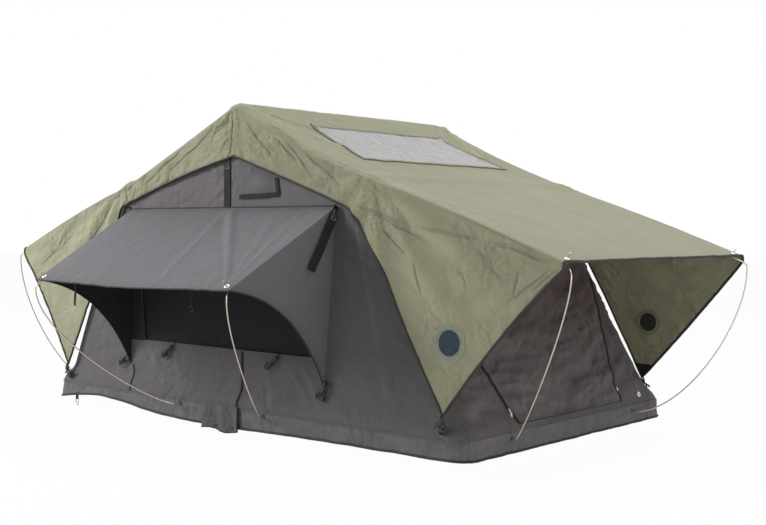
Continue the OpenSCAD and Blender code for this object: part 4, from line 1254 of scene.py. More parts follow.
def fly_edge(x, top, side):
    """Rows of one side flap and of its round turn into the roof: across, up, and where the roof starts."""
    rise = np.linspace(0, 1, 46)[None]
    bend = np.linspace(0, np.pi / 2, 7)[None, 1:-1]
    hem = fly_hem(x, side)
    upper = ease((FLY_KINK_X + UPPER_EDGE_PAST_HOOP - np.abs(x)) / UPPER_EDGE_FADE)
    round_edge = EDGE_ROUND + UPPER_EDGE_ROUND * upper
    radius = np.minimum(round_edge, 0.35 * (top - hem))
    edge_y = np.concatenate([FLY_HALF + 0 * rise * x, FLY_HALF - radius + radius * np.cos(bend)], 1)
    edge_z = np.concatenate([mix(hem, top - radius, rise), top - radius + radius * np.sin(bend)], 1)
    return side * edge_y, edge_z, side * (FLY_HALF - radius)


def fly_grid():
    """Points of the whole fly in one sheet: near flap, fold, roof, fold, far flap."""
    stops = [-FLY_REACH, -FIXED_TIP_X, -FLY_KINK_X, 0, FLY_KINK_X, TIP_X, FLY_REACH]
    x = spaced(stops, FLY_STEP)[:, None]
    top = fly_top(x)
    across = np.linspace(-1, 1, 70)[None]
    near_y, near_z, first = fly_edge(x, top, -1)
    far_y, far_z, last = fly_edge(x, top, 1)
    y = np.concatenate([near_y, mix(first, last, (across + 1) / 2), far_y[:, ::-1]], 1)
    z = np.concatenate([near_z, top + 0 * across, far_z[:, ::-1]], 1)
    x = x + 0 * y
    below = top - z
    near_folds, near_out = flap_out(x, below, -1)
    far_folds, far_out = flap_out(x, below, 1)
    folds = np.where(y < 0, near_folds, far_folds)
    on_roof = (1 - ease(below / FLAP_TURN)) * ease((FLY_HALF - np.abs(y)) / ROOF_EDGE_FADE + HELD_START)
    roof = roof_folds(x, y) * on_roof
    y = y + np.sign(y) * np.where(y < 0, near_out, far_out) * (below > 0)
    points = np.stack([x, y, z + roof], -1)
    from_corner = np.hypot(x - NEAR_CORNER[0], y + FLY_HALF - NEAR_CORNER[1])
    flap_slack = LOW_FLAP_SLACK + TOP_FLAP_SLACK * bell(below / TOP_FLAP_REACH)
    roof_slack = ROOF_SLACK + NEAR_CORNER_SLACK * bell(from_corner / NEAR_CORNER_REACH)
    return points, (folds + roof) / FULL_FOLD, np.where(below > EDGE_ROUND, flap_slack, roof_slack)


def fly_hem_lengths(points):
    """Length along the nearest edge of the fly and distance from it, for the row of stitches."""
    x = points[..., 0]
    steps = np.linalg.norm(np.diff(points, axis=1), axis=-1).cumsum(1)
    run = np.concatenate([np.zeros((len(x), 1)), steps], 1)
    side_edge = np.minimum(run, run[:, -1:] - run)
    end_edge = (FLY_REACH - np.abs(x)) * END_SLOPE_LENGTH
    nearer_side = side_edge < end_edge
    along = np.where(nearer_side, x * FLAP_HEM_LENGTH, run)
    return np.stack([along, np.where(nearer_side, side_edge, end_edge)], -1)


def skylight_corners(grow):
    """Corners of the skylight along and across the tent, grown or shrunk by a margin."""
    slope = math.atan2(FLY_RIDGE_Z - FLY_KINK_Z, FLY_KINK_X)
    high = (SKY_TOP - grow) * math.cos(slope)
    low = (SKY_TOP + SKY_LENGTH + grow) * math.cos(slope)
    return [(high, -SKY_HALF - grow), (low, -SKY_HALF - SKY_FLARE - grow),
            (low, SKY_HALF + SKY_FLARE + grow), (high, SKY_HALF + grow)]


def rain_fly():
    points, fold, slack = fly_grid()
    piece = cloth_grid("rain_fly", points, fold, fly_hem_lengths(points), slack)
    cut_opening(piece, skylight_corners(-SKY_LAP), (0, 1), lambda spot: spot.z > FLY_KINK_Z)
    finish_sheet(piece, FLY,
                 ("fly_roof", "fly_near_flap", "fly_far_flap"))
    edge = np.concatenate([points[:, 0], points[-1, 1:], points[-2::-1, -1], points[0, -2:0:-1]])
    sew_piping("fly_edge_piping", edge, HEM_PIPING, closed=True)


def skylight():
    (high, _), (low, _) = skylight_corners(0)[:2]
    down = np.linspace(0, 1, 60)[:, None]
    across = np.linspace(-1, 1, 130)[None]
    x = mix(high, low, down) + 0 * across
    y = (SKY_HALF + SKY_FLARE * down) * across
    crinkle = wrinkles(x, y, SKY_WRINKLES)
    edge = np.minimum(np.minimum(down, 1 - down) * SKY_LENGTH, (1 - np.abs(across)) * SKY_HALF)
    z = fly_top(x) + roof_folds(x, y) + SKY_LIFT + crinkle * ease(edge / SKY_EDGE)
    piece = cloth_grid("clear_skylight", np.stack([x, y, z], -1), crinkle / FINE_FULL_FOLD)
    finish_sheet(piece, CLEAR, ("skylight",), thick=THIN_CLOTH)
    outlines = [skylight_corners(grow) for grow in (BINDING_OUT, -BINDING_IN)]
    outer, inner = (split_line(corners + corners[:1], 40) for corners in outlines)
    rows = np.stack([outer, mix(outer, inner, 0.5), inner], 1)
    x, y = np.moveaxis(np.concatenate([rows, rows[:1]]), -1, 0)
    z = fly_top(x) + roof_folds(x, y) + BINDING_LIFT
    binding = cloth_grid("skylight_binding", np.stack([x, y, z], -1))
    shape_with(binding, "SOLIDIFY", thickness=BINDING_THICK, offset=0)
    dress(smooth(binding), FLY)


# Tent body
def wall_share(z):
    """Height on a wall as a share of the way from its foot to the kink under the roof."""
    return (z - WALL_FOOT_Z) / (KINK_Z - WALL_FOOT_Z)


def wall_half(z):
    """Half length of a gable wall at a height."""
    lower = mix(WALL_FOOT_X, KINK_X, wall_share(z))
    upper = mix(KINK_X, 0.0, (z - KINK_Z) / (WALL_RIDGE_Z - KINK_Z))
    return np.maximum(np.where(z < KINK_Z, lower, upper), 0.004)


def corner_radius(x, z):
    """Radius of the body's upright corners, which grows where the cloth is slack on the folding half."""
    share = wall_share(z)
    slack = SLACK_CORNER + SLACK_CORNER_GAIN * ease(share / 0.6) * ease((1.25 - share) / 0.5)
    taut = mix(TAUT_CORNER, ROOF_EDGE, ease(share * 2 - 1))
    return mix(by_half(x, (taut, slack)), ROOF_EDGE, ease((z - KINK_Z) / 0.1))


def round_edges(points):
    """Rounds the edges where gable walls meet end walls and roof, and spreads the gable walls' feet."""
    x, y, z = np.moveaxis(points, -1, 0)
    radius = corner_radius(x, z)
    end_line = mix(WALL_FOOT_X, KINK_X, wall_share(z))
    roof_line = mix(WALL_RIDGE_Z, KINK_Z, np.abs(x) / KINK_X)
    ahead = radius - np.minimum((end_line - np.abs(x)) * END_LEAN, (roof_line - z) * ROOF_LEAN)
    aside = np.abs(y) - (WALL_Y - radius)
    corner = (ahead > 0) & (aside > 0)
    scale = np.where(corner, np.maximum(ahead, aside) / np.maximum(np.hypot(ahead, aside), 1e-9), 1)
    inward = np.where(corner, ahead * (1 - scale), 0)
    above = np.maximum(z - ROUND_ABOVE_Z, 0)
    away = np.maximum(np.hypot(x, above), 1e-9)
    side_share = np.clip(aside * scale / radius, 0, 1) ** 2
    end_share = np.clip(ahead * scale / radius, 0, 1) ** 2
    spread = ease((FOOT_TOP_Z - z) / FOOT_HEIGHT) * (1 + FOOT_CORNER_GAIN * side_share * end_share)
    y = y + np.sign(y) * (np.where(corner, aside * (scale - 1), 0) + FOOT_OUT_Y * spread * side_share)
    x = x * (1 - inward / away) + np.sign(x) * FOOT_OUT_X * spread * end_share
    lower = FOOT_DROP * ease((FOOT_DROP_TOP_Z - z) / FOOT_DROP_HEIGHT) * np.maximum(side_share, end_share)
    hollow = np.sin(np.pi * np.clip(wall_share(z), 0, 1))
    x = x - FIXED_END_HOLLOW * hollow * ease((-x - HOLLOW_START) / HOLLOW_FADE)
    return np.stack([x, y, z - inward * above / away - lower], -1)


def wall_folds(x, z, side):
    """How far a gable wall's cloth stands out."""
    seed = WALL_SEEDS[side]
    inside = np.minimum(wall_half(z) - np.abs(x), z - WALL_FOOT_Z)
    low_strip = bell((x - LOW_STRIP_X) / LOW_STRIP_HALF) * ease((LOW_STRIP_TOP_Z - z) / LOW_STRIP_FADE)
    out = wrinkles(x, z, WALL_WRINKLES, seed) + low_strip * wrinkles(x, z, LOW_WALL_WRINKLES, seed)
    for start, end, depth, width in WALL_PULLS:
        out = out + depth * pull(x, z, start, end, width)
    return out * ease(inside / WALL_EDGE)


def on_wall(x, z, lift, side=-1):
    """Points on a gable wall's cloth, lifted off it."""
    x, z = np.broadcast_arrays(np.asarray(x, float), np.asarray(z, float))
    spots = round_edges(np.stack([x, side * (WALL_Y + wall_folds(x, z, side)), z], -1))
    spots[..., 1] += side * lift
    return spots


def window_corners(grow=0.0):
    """Corners of a window, lower ones first, grown by a margin."""
    low, high = SILL_HALF + grow, WINDOW_TOP_HALF + grow
    sill, top = SILL_Z - grow, SEAM_Z - 0.001 + grow
    return [(WINDOW_X - low, sill), (WINDOW_X + low, sill), (WINDOW_X + high, top), (WINDOW_X - high, top)]


def gable_walls():
    for side, word in SIDES:
        z = spaced([WALL_FOOT_Z, 0.16, KINK_Z, WALL_RIDGE_Z - 0.002], WALL_STEP)[None]
        across = np.linspace(-1, 1, 170)[:, None] * -side
        z = z + 0 * across
        x = wall_half(z) * across
        # Painted light: the cloth above the awning's seam is lightened through the stored fold shading
        above_seam = ease((z - SEAM_Z) / GABLE_FADE + 0.5)
        shade = wall_folds(x, z, side) / FULL_FOLD + GABLE_PAINTED_LIGHT * above_seam
        piece = cloth_grid(word + "_gable_wall", on_wall(x, z, 0, side), shade)
        if word == "near":
            cut_opening(piece, window_corners(), (0, 2))
        finish_sheet(piece, CANVAS, (word + "_wall",))


def window_panel(side, name, y_offset, seed, depth):
    """A sheet that fills a window's place."""
    up = np.linspace(0, 1, 50)[None]
    across = np.linspace(-1, 1, 90)[:, None] * -side
    z = mix(SILL_Z - 0.012, SEAM_Z + 0.004, up) + 0 * across
    x = WINDOW_X + mix(SILL_HALF, WINDOW_TOP_HALF, up) * 1.02 * across
    folds = depth * rumple(x, z, 80, 0.4, 0.08, seed)
    y = side * (WALL_Y + y_offset + folds)
    return cloth_grid(name, np.stack([x, y, z], -1), folds / PANEL_FULL_FOLD)


def windows():
    """The insect mesh of the near window, and the far window's closed flap with its zip."""
    screen = window_panel(-1, "window_insect_mesh", -MESH_IN, 71, 0.002)
    finish_sheet(screen, MESH, ("window_mesh",), thick=MESH_CLOTH)
    cover = window_panel(1, "far_window_flap", FLAP_OFF, 77, 0.0024)
    finish_sheet(cover, AWNING, ("far_window_cover",))
    low_left, low_right, top_right, top_left = window_corners(WINDOW_ZIP_MARGIN)
    x, z = split_line([top_right, low_right, low_left, top_left], 40).T
    line = np.stack([x, WALL_Y + WINDOW_ZIP_OFF + 0 * x, z], -1)
    sew_webbing(ribbon("far_window_zip", line, (0, 1, 0), WINDOW_ZIP_WIDTH))


def end_folds(x, y, z):
    """How far an end wall's cloth stands out: level folds that sag in the middle."""
    low = ease((z - WALL_FOOT_Z) / END_FOOT_FADE) * ease((KINK_Z - END_TOP_GAP - z) / END_TOP_FADE)
    low = low * (np.abs(x) > KINK_X - 0.001)
    sag = z + END_SAG * (1 - (y / WALL_Y) ** 2)
    zip_half = mix(DOOR_HALF, DOOR_TOP_HALF, wall_share(z) * ZIP_SLANT)
    stiff = 1 - ZIP_HOLD * bell((np.abs(y) - zip_half) / ZIP_HOLD_REACH)
    return wrinkles(y, sag, END_WRINKLES) * low * stiff * ease((WALL_Y - np.abs(y)) / END_SIDE_FADE)


def body_shell():
    """The roof canvas and both end walls, sewn as one long sheet."""
    foot = np.array([WALL_FOOT_X, WALL_FOOT_Z])
    kink = np.array([KINK_X, KINK_Z + 0.001])
    ridge = np.array([0.0, WALL_RIDGE_Z])
    corners = [foot * (-1, 1), kink * (-1, 1), ridge, kink, foot]
    runs = []
    for start, end in zip(corners, corners[1:]):
        runs.append(split_line([start, end], int(np.hypot(*(end - start)) / SHELL_STEP)))
    line = np.concatenate(runs + [corners[-1:]])
    across = np.linspace(-WALL_Y, WALL_Y, 100)[None]
    x, z = line[:, :1] + 0 * across, line[:, 1:] + 0 * across
    y = across + 0 * x
    out = end_folds(x, y, z)
    z = z - ROOF_CANVAS_SAG * np.sin(np.pi * np.clip(np.abs(x) / KINK_X, 0, 1))
    points = np.stack([x + np.sign(x) * out * END_FACING[0], y, z + out * END_FACING[2]], -1)
    slack = END_SLACK + 0 * out
    piece = cloth_grid("body_canvas_shell", round_edges(points), out / END_FULL_FOLD, slack=slack)
    finish_sheet(piece, END_CANVAS, ("roof_canvas", "fixed_end_wall", "flip_end_wall"))


def end_point(y, up, out, side=1):
    """A point on an end wall: across, up along the slope and out from the cloth."""
    lean = unit(KINK_X - WALL_FOOT_X, KINK_Z - WALL_FOOT_Z)
    x, z = WALL_FOOT_X + lean[0] * up, WALL_FOOT_Z + lean[1] * up
    stand = out + end_folds(x, y, z)
    spots = np.stack(np.broadcast_arrays(side * (x + lean[1] * stand), y, z - lean[0] * stand), -1)
    return round_edges(spots)


def door_panel(name, side):
    """A panel on an end wall, wider at the top, with rounded upper corners."""
    up = np.linspace(0, 1, 60)[None]
    across = np.linspace(-1, 1, 80)[:, None] * side
    height = mix(DOOR_SILL, DOOR_TOP, up)
    over = np.clip((height - (DOOR_TOP - DOOR_CORNER)) / DOOR_CORNER, 0, 1)
    half = mix(DOOR_HALF, DOOR_TOP_HALF, up) - DOOR_CORNER * (1 - np.sqrt(1 - over ** 2 * 0.98))
    y = half * across
    points = end_point(y, height + 0 * across, DOOR_OFF, side)
    fold = end_folds(WALL_FOOT_X, y, WALL_FOOT_Z + 0.9 * height)
    return cloth_grid(name, points, fold / END_FULL_FOLD, slack=END_SLACK + 0 * fold)


def end_panels():
    """The door with its hem and zips at the folding end, and the like panel at the fixed end."""
    door = door_panel("end_door", 1)
    sill = end_point(np.linspace(-DOOR_HALF, DOOR_HALF, 60), DOOR_SILL - 0.001, DOOR_HEM_OFF)
    sew_piping("end_door_hem", sill, DOOR_HEM_RADIUS)
    finish_sheet(door, END_CANVAS, ("flip_door",))
    panel = door_panel("fixed_end_panel", -1)
    finish_sheet(panel, END_CANVAS, ("fixed_end_window",))
    up = np.linspace(DOOR_SILL, DOOR_TOP - DOOR_CORNER * 0.4, 70)
    half = mix(DOOR_HALF, DOOR_TOP_HALF, (up - DOOR_SILL) / (DOOR_TOP - DOOR_SILL))
    lines = [end_point(edge * half, up, DOOR_ZIP_OFF) for edge in (-1, 1)]
    zips = [ribbon("zip", line, END_FACING, DOOR_ZIP_WIDTH) for line in lines]
    sew_webbing(join(zips, "end_door_zips"), replaces=("door_zips",))


# Skirt and hinge flaps
def skirt_outline(side):
    """Outline of one base half's skirt, from the hinge on one side round to the other."""
    corner = SKIRT_CORNERS[side]
    turn = np.linspace(0, np.pi / 2, 14)
    straight = spaced([0.004, SKIRT_X - corner], SKIRT_STEP)
    near = np.stack([straight, -SKIRT_Y + 0 * straight], -1)
    bend_x = SKIRT_X - corner + corner * np.sin(turn)
    bend = np.stack([bend_x, -SKIRT_Y + corner - corner * np.cos(turn)], -1)
    across = spaced([-SKIRT_Y + corner, SKIRT_Y - corner], SKIRT_STEP)
    end = np.stack([SKIRT_X + 0 * across, across], -1)
    far_bend, far = bend[::-1] * (1, -1), near[::-1] * (1, -1)
    return np.concatenate([near[:-1], bend[:-1], end[:-1], far_bend[:-1], far]) * (side, 1)


def skirt(side, half):
    """The skirt of one base half: its hanging cloth, the turn over the edge and the hem's piping."""
    line = skirt_outline(side)
    outward = np.stack([np.gradient(line[:, 1]), -np.gradient(line[:, 0])], -1) * side
    outward /= np.linalg.norm(outward, axis=1)[:, None]
    run = np.append(0, np.linalg.norm(np.diff(line, axis=0), axis=1).cumsum())
    inner = np.clip(line, (-WALL_FOOT_X, -WALL_Y), (WALL_FOOT_X, WALL_Y))
    bends = bell((run - SKIRT_X) / CORNER_PLEAT_REACH) + bell((run[-1] - SKIRT_X - run) / CORNER_PLEAT_REACH)
    foot_z = np.interp(line[:, 0], *smooth_line(SKIRT_HEM, 8).T)
    belly = BELLY * ease((-line[:, 0] - BELLY_START) / BELLY_FADE)
    rows, folds = [], []
    for share in np.linspace(0, 1, 13):
        z = mix(foot_z, SKIRT_TOP_Z - 0.003, share)
        slack = 1 - 0.75 * share
        pleats = CORNER_PLEAT_DEPTH * bends * np.sin(run * 2 * np.pi / CORNER_PLEAT_PITCH)
        wave = wrinkles(run, z, SKIRT_WRINKLES) + pleats
        z = z + HEM_WAVE * (1 - share) * noise(run / HEM_WAVE_LENGTH, 0 * run, 95)
        stand = SKIRT_OFF + np.maximum(wave, SKIRT_INWARD) * slack + belly * slack
        rows.append(np.column_stack([line + outward * stand[:, None], z]))
        folds.append(wave / FINE_FULL_FOLD)
    for share, rise in SKIRT_TURN:
        spot = mix(line + outward * 0.0006, inner, share)
        rows.append(np.column_stack([spot, SKIRT_TOP_Z + rise + 0 * run]))
        folds.append(0 * run)
    points, fold = np.stack(rows, 1)[::side], np.stack(folds, 1)[::side]
    name = half + "_skirt_cloth"
    piece = cloth_grid(name, points, fold)
    finish_sheet(piece, SKIRT, (half + "_skirt",), half)
    sew_piping(name + "_piping", points[:, 0], HEM_PIPING, half)


def hinge_flap(side, word):
    """The loose flap of cloth that hangs over the gap between the two base halves."""
    node = word + "_hinge_flap"
    low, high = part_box(node)
    across = np.linspace(0, 1, 60)[:, None]
    up = np.linspace(0, 1, 30)[None]
    x = mix(low.x, high.x, across) - HINGE_X + 0 * up
    z = mix(low.z, high.z, up) + HINGE_HEM_WAVE * np.sin(across * 7) * (1 - up)
    wave = np.sin(across * 2 * np.pi * HINGE_FLAP_WAVES + 2.2 * across ** 2 + 0.9 * up)
    fold = HINGE_FLAP_WAVE * wave * (1 - 0.5 * up) + wrinkles(x, z, HINGE_FLAP_WRINKLES, side)
    y = side * (SKIRT_Y + HINGE_FLAP_OFF + np.maximum(fold, HINGE_FLAP_INWARD))
    points = np.stack([x, y, z], -1)
    free_edge = points[-1]
    points, fold = points[::-side], fold[::-side]
    piece = cloth_grid(node + "_cloth", points, fold / FULL_FOLD)
    trims = [tube("piping", points[:, 0], HINGE_FLAP_HEM), tube("piping", free_edge, HINGE_FLAP_EDGE)]
    dress(smooth(join(trims, node + "_cloth_piping")), PIPING, "fixed")
    finish_sheet(piece, FLAP, (node,), "fixed")


# Window awning
def awning_point(across, front):
    """A point of the awning: across from -1 to 1, and from its seam to its front edge."""
    half = mix(AWNING_HALF, AWNING_FRONT_HALF, front)
    sag = AWNING_SAG * np.cos(np.pi / 2 * across) ** 2 * front
    x = WINDOW_X + AWNING_SHIFT * front + half * across
    y = mix(SEAM_Y, AWNING_FRONT_Y, front) + 0 * across
    z = mix(SEAM_Z, AWNING_FRONT_Z, front) - sag
    return x, y, z


def awning():
    """The awning's sheet, with wrinkles, a pleat and pulls from its front corners."""
    across = np.linspace(-1, 1, 120)[:, None]
    front = np.linspace(1, 0, 60)[None]
    x, y, z = awning_point(across, front)
    run = front * AWNING_RUN + 0 * x
    lift = wrinkles(x, run, AWNING_WRINKLES)
    lift = lift + wrinkles(x, run, RIGHT_AWNING_WRINKLES) * ease((x - WINDOW_X) / AWNING_RIGHT_FADE)
    pleat = (x - AWNING_PLEAT_X - AWNING_PLEAT_DRIFT * front) / AWNING_PLEAT_WIDTH
    lift = lift + AWNING_PLEAT_HEIGHT * bell(pleat) * ease((1 - front) / AWNING_PLEAT_FADE + HELD_START)
    for side in (-1, 1):
        corner = (WINDOW_X + AWNING_SHIFT + side * AWNING_PULL_HALF, AWNING_PULL_RUN)
        for reach, depth, extra in AWNING_PULLS:
            end = (WINDOW_X + side * reach, 0.0)
            lift = lift + (depth + extra * side) * pull(x, run, corner, end, AWNING_PULL_WIDTH)
    held = ease((1 - np.abs(across)) / AWNING_SIDE_FADE + HELD_START)
    lift = lift * ease(front / AWNING_SEAM_FADE) * held
    points = np.stack([x, y + 0 * x, z + lift], -1)
    piece = cloth_grid("window_awning_sheet", points, lift / FULL_FOLD)
    sew_piping("awning_front_hem", points[:, 0] - (0, 0, 0.001), AWNING_HEM, "awning")
    sew_piping("awning_seam", points[:, -1] + (0, -0.001, 0.001), SEAM_PIPING, "awning")
    finish_sheet(piece, AWNING, ("window_awning",), "awning", shade_inside=True)


def gusset(side, word):
    """A side cheek of the awning, with a scooped free edge."""
    top = np.array([WINDOW_X + side * AWNING_HALF, SEAM_Y, SEAM_Z])
    corner_x = WINDOW_X + AWNING_SHIFT + side * AWNING_FRONT_HALF
    front = np.array([corner_x, AWNING_FRONT_Y, AWNING_FRONT_Z])
    foot = np.array([corner_x, SEAM_Y, GUSSET_FOOT_Z])
    middle = top + GUSSET_SCOOP * ((front - top) + (foot - top))
    t = np.linspace(0, 1, 70)[:, None]
    free = (1 - t) ** 2 * front + 2 * t * (1 - t) * middle + t * t * foot
    share = np.linspace(0.01, 1, 46)[None, :, None]
    points = top + (free[:, None] - top) * share
    depth = wrinkles(points[..., 1], points[..., 2], GUSSET_WRINKLES, side)
    depth = depth * np.sin(np.pi * t) * ease(share[..., 0] / 0.3)
    points = points - np.array([side, 0, 0]) * depth[..., None]
    name = word + "_awning_gusset"
    piece = cloth_grid(name, points[::-side], depth[::-side] / PANEL_FULL_FOLD)
    replaced = ("awning_gussets",) if side < 0 else ()
    finish_sheet(piece, AWNING, replaced, "awning", shade_inside=True)
    sew_piping(name + "_piping", points[:, -1], SEAM_PIPING, "awning")


# Spring rods
def fly_eye(x_side, side, lift):
    """The middle of an eyelet in the fly's roof."""
    top = float(fly_top(np.array(FLY_EYE_X)))
    return x_side * FLY_EYE_X, side * FLY_EYE_HALF[x_side], top + lift


def awning_eye(side, lift):
    """The middle of an eyelet in the awning."""
    x, y, z = awning_point(np.array(side * AWNING_EYE_ACROSS), np.array(AWNING_EYE_FRONT))
    return float(x), float(y), float(z) + lift


def spring_rod(name, foot, out, eye, up, away, bow):
    """A sprung steel rod: out of its socket, round in a bow and through the eyelet with a hooked tip."""
    foot, out, eye = (np.array(v, float) for v in (foot, out, eye))
    elbow = foot + ROD_OUT * out
    neck = eye + (NECK_AWAY + NECK_BOW * bow) * away - NECK_BELOW * up
    rise = np.array([0, 0, 1.0])
    first = bezier(elbow, elbow + FOOT_PULL * bow * out, neck - NECK_PULL * (1 + bow) * rise, neck, 40)
    last = bezier(neck, neck + NECK_RISE * rise, eye - EYE_PULL * up, eye, 14)
    tip = np.array([eye + a * up + b * away for a, b in ROD_TIP])
    line = np.concatenate([foot[None], first, last[1:], tip])
    dress(smooth(tube(name + "_wire", line, ROD_RADIUS)), ROD, name, (name,))


def spring_rods():
    for x_side, half in HALVES:
        up = unit(x_side * FLY_EYE_TILT, 0, FLY_EYE_RISE)
        for side, word in SIDES:
            name = f"{half}_{word}_rod"
            foot = (x_side * SKIRT_X, side * ROD_FOOT_HALF[x_side], ROD_FOOT_Z)
            away = unit(x_side, side * ROD_LEAN, 0)
            bow = STRAIGHT_BOW if name == "flip_near_rod" else ROD_BOW
            spring_rod(name, foot, (x_side, 0, 0), fly_eye(x_side, side, -ROD_DROP), up, away, bow)
    for side, half, bow, foot_x in WINDOW_RODS:
        foot = (foot_x, -SKIRT_Y, ROD_FOOT_Z)
        away = unit(side * ROD_LEAN, -1, 0)
        eye = awning_eye(side, 0.0)
        spring_rod(half + "_window_rod", foot, (0, -1, 0), eye, unit(*AWNING_EYE_FACING), away, bow)


# Trim
def box_stitch(centre, lift, side):
    """A sewn box with a cross in it, on a gable wall."""
    x, z = (np.array(centre) + np.array(BOX_COURSE) * BOX_HALF).T
    return tube("stitches", on_wall(x, z, lift, side), THREAD_RADIUS)


def wall_strip(name, top, low, width, lift, side=-1):
    """A flat strap sewn to a gable wall, lying on its cloth."""
    share = np.linspace(0, 1, 40)[:, None]
    across = np.linspace(-0.5, 0.5, 7)[None] * width
    x = mix(top[0], low[0], share) + across * -side
    z = mix(top[1], low[1], share) + 0 * across
    return shape_with(cloth_grid(name, on_wall(x, z, lift, side)), "SOLIDIFY", thickness=0.002, offset=0)


def gable_straps():
    straps, stitches = [], []
    for side, top, low in GABLE_STRAPS:
        straps.append(wall_strip("strap", top, low, STRAP_WIDTH, STRAP_OFF, side))
        stitches.append(box_stitch((top[0], top[1] - BOX_DOWN), STITCH_OFF, side))
    sew_webbing(join(straps, "gable_webbing"), replaces=("gable_straps",))
    dress(join(stitches, "strap_stitching"), THREAD)


def awning_side_strap():
    """The strap on the awning's right cheek, with its sewn box."""
    top, low = np.array(SIDE_STRAP_TOP), np.array(SIDE_STRAP_LOW)
    share = np.linspace(0, 1, 30)[:, None]
    line = mix(top, low, share)
    line[:, 0] += 0.004 * np.sin(np.pi * share[:, 0])
    sew_webbing(ribbon("awning_side_strap", line, (1, 0, 0.1), SIDE_STRAP_WIDTH), "awning")
    down = (low - top) / SIDE_STRAP_LENGTH
    aside = np.array([0, -0.90, 0.43])
    middle = line[4] + (0.0022, 0, 0)
    spots = [middle + a * BOX_HALF[0] * aside + b * BOX_HALF[1] * down for a, b in BOX_COURSE]
    dress(tube("awning_strap_stitching", spots, THREAD_RADIUS), THREAD, "awning")


def window_shade_strips():
    """Black tape between the window and the awning's cheeks, painted shade for the wall in the awning's
    shadow, and the seam below the left cheek.
    """
    bands = [wall_strip("band", SEAM_TOP, SEAM_LOW, *SEAM_SIZE)]
    down = np.linspace(0, 1, 40)[:, None]
    across = np.linspace(0, 1, 7)[None]
    # Painted shade: black strips on the wall beside the window
    for side in (-1, 1):
        z = mix(SEAM_Z - SHADE_TAPE_GAP, SILL_Z - 0.004, down) + 0 * across
        inner = mix(WINDOW_TOP_HALF, SILL_HALF, down)
        hang = (SEAM_Z - z) / (SEAM_Z - GUSSET_FOOT_Z)
        outer = mix(AWNING_HALF, AWNING_FRONT_HALF + side * AWNING_SHIFT, hang) - SHADE_TAPE_GAP
        x = WINDOW_X + side * mix(inner, outer, across if side < 0 else 1 - across)
        piece = cloth_grid("band", on_wall(x, z, SHADE_TAPE_OFF))
        bands.append(shape_with(piece, "SOLIDIFY", thickness=SHADE_TAPE_THICK, offset=0))
    sew_webbing(join(bands, "window_tapes"))


def vent():
    """A small flap over the gable vent, with black tape on two of its edges."""
    u = np.linspace(0, 1, 34)[:, None]
    v = np.linspace(0, 1, 26)[None]
    weights = [(1 - u) * (1 - v), (1 - u) * v, u * v, u * (1 - v)]
    x, z = (sum(w * c for w, c in zip(weights, places)) for places in zip(*VENT_CORNERS))
    puff = (VENT_PUFF * np.sin(np.pi * v) + VENT_MOUTH * (1 - v)) * np.sin(np.pi * u)
    points = on_wall(x, z, VENT_OFF + puff)
    piece = cloth_grid("vent_flap", points, puff / VENT_FULL_FOLD)
    edge = np.concatenate([points[:, 0], points[-1, 1:]]) - (0, 0.0012, 0)
    sew_webbing(ribbon("vent_tape", edge, (0, -1, 0), VENT_TAPE))
    finish_sheet(piece, CANVAS, ("vent_cover",))


def wall_zip():
    """The zip down the middle of the near wall, below the window."""
    sew_webbing(wall_strip("lower_wall_zip", WALL_ZIP_TOP, WALL_ZIP_LOW, *WALL_ZIP_SIZE))


def toggles():
    """Small barrels on loops of cord, on the near wall."""
    pieces = []
    for x, z, lean in TOGGLES:
        centre = on_wall(x, z, TOGGLE_OFF)
        turn = math.radians(lean)
        run = np.array([math.cos(turn), 0, math.sin(turn)])
        steps = np.array(TOGGLE_STEPS)[:, None]
        pieces.append(tube("toggle", centre + steps * run, TOGGLE_RADIUS))
        pieces.append(tube("toggle", smooth_line(centre + np.array(TOGGLE_CORD), 6), KNOT_RADIUS))
    dress(smooth(join(pieces, "wall_toggles")), PLASTIC)


def awning_ties():
    """Short straps with rings that hang under the awning and tie it up when it is rolled."""
    for name, x, y, low in AWNING_TIES:
        front = (-y - WALL_Y) / (-AWNING_FRONT_Y - WALL_Y)
        top = mix(SEAM_Z, AWNING_FRONT_Z, front) - TIE_DOWN
        line = drop(x, y, top, low, 16)
        line[:, 0] += 0.006 * np.sin(3 * (line[:, 2] - low) / (top - low))
        strap = sew_webbing(ribbon(name + "_awning_tie", line, (0, -1, 0), TIE_WIDTH), "awning")
        loop = ring(name + "_awning_tie_ring", (x, y, low - TIE_DOWN), (0.4, 1, 0), *TIE_RING)
        dress(smooth(loop), PLASTIC, "awning")
        if name == "middle":
            for piece in (strap, loop):
                at(x, y, top)
                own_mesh(piece)


def eyelets():
    rings = []
    for x_side, _ in HALVES:
        facing = (x_side * FLY_EYE_TILT, 0, FLY_EYE_RISE)
        rings += [ring("eyelet", fly_eye(x_side, side, EYE_LIFT), facing, *FLY_EYE_SIZE) for side in (-1, 1)]
    dress(smooth(join(rings, "fly_eyelet_rings")), NICKEL, replaces=("fly_eyelets",))
    rings = [ring("eyelet", awning_eye(side, EYE_LIFT), AWNING_EYE_FACING, *EYE_SIZE) for side in (-1, 1)]
    dress(smooth(join(rings, "awning_eyelet_rings")), NICKEL, "awning", ("awning_eyelets",))
    spot = end_point(*np.array(END_EYE))
    dress(smooth(ring("end_wall_eyelet", spot, END_FACING, *EYE_SIZE)), NICKEL)


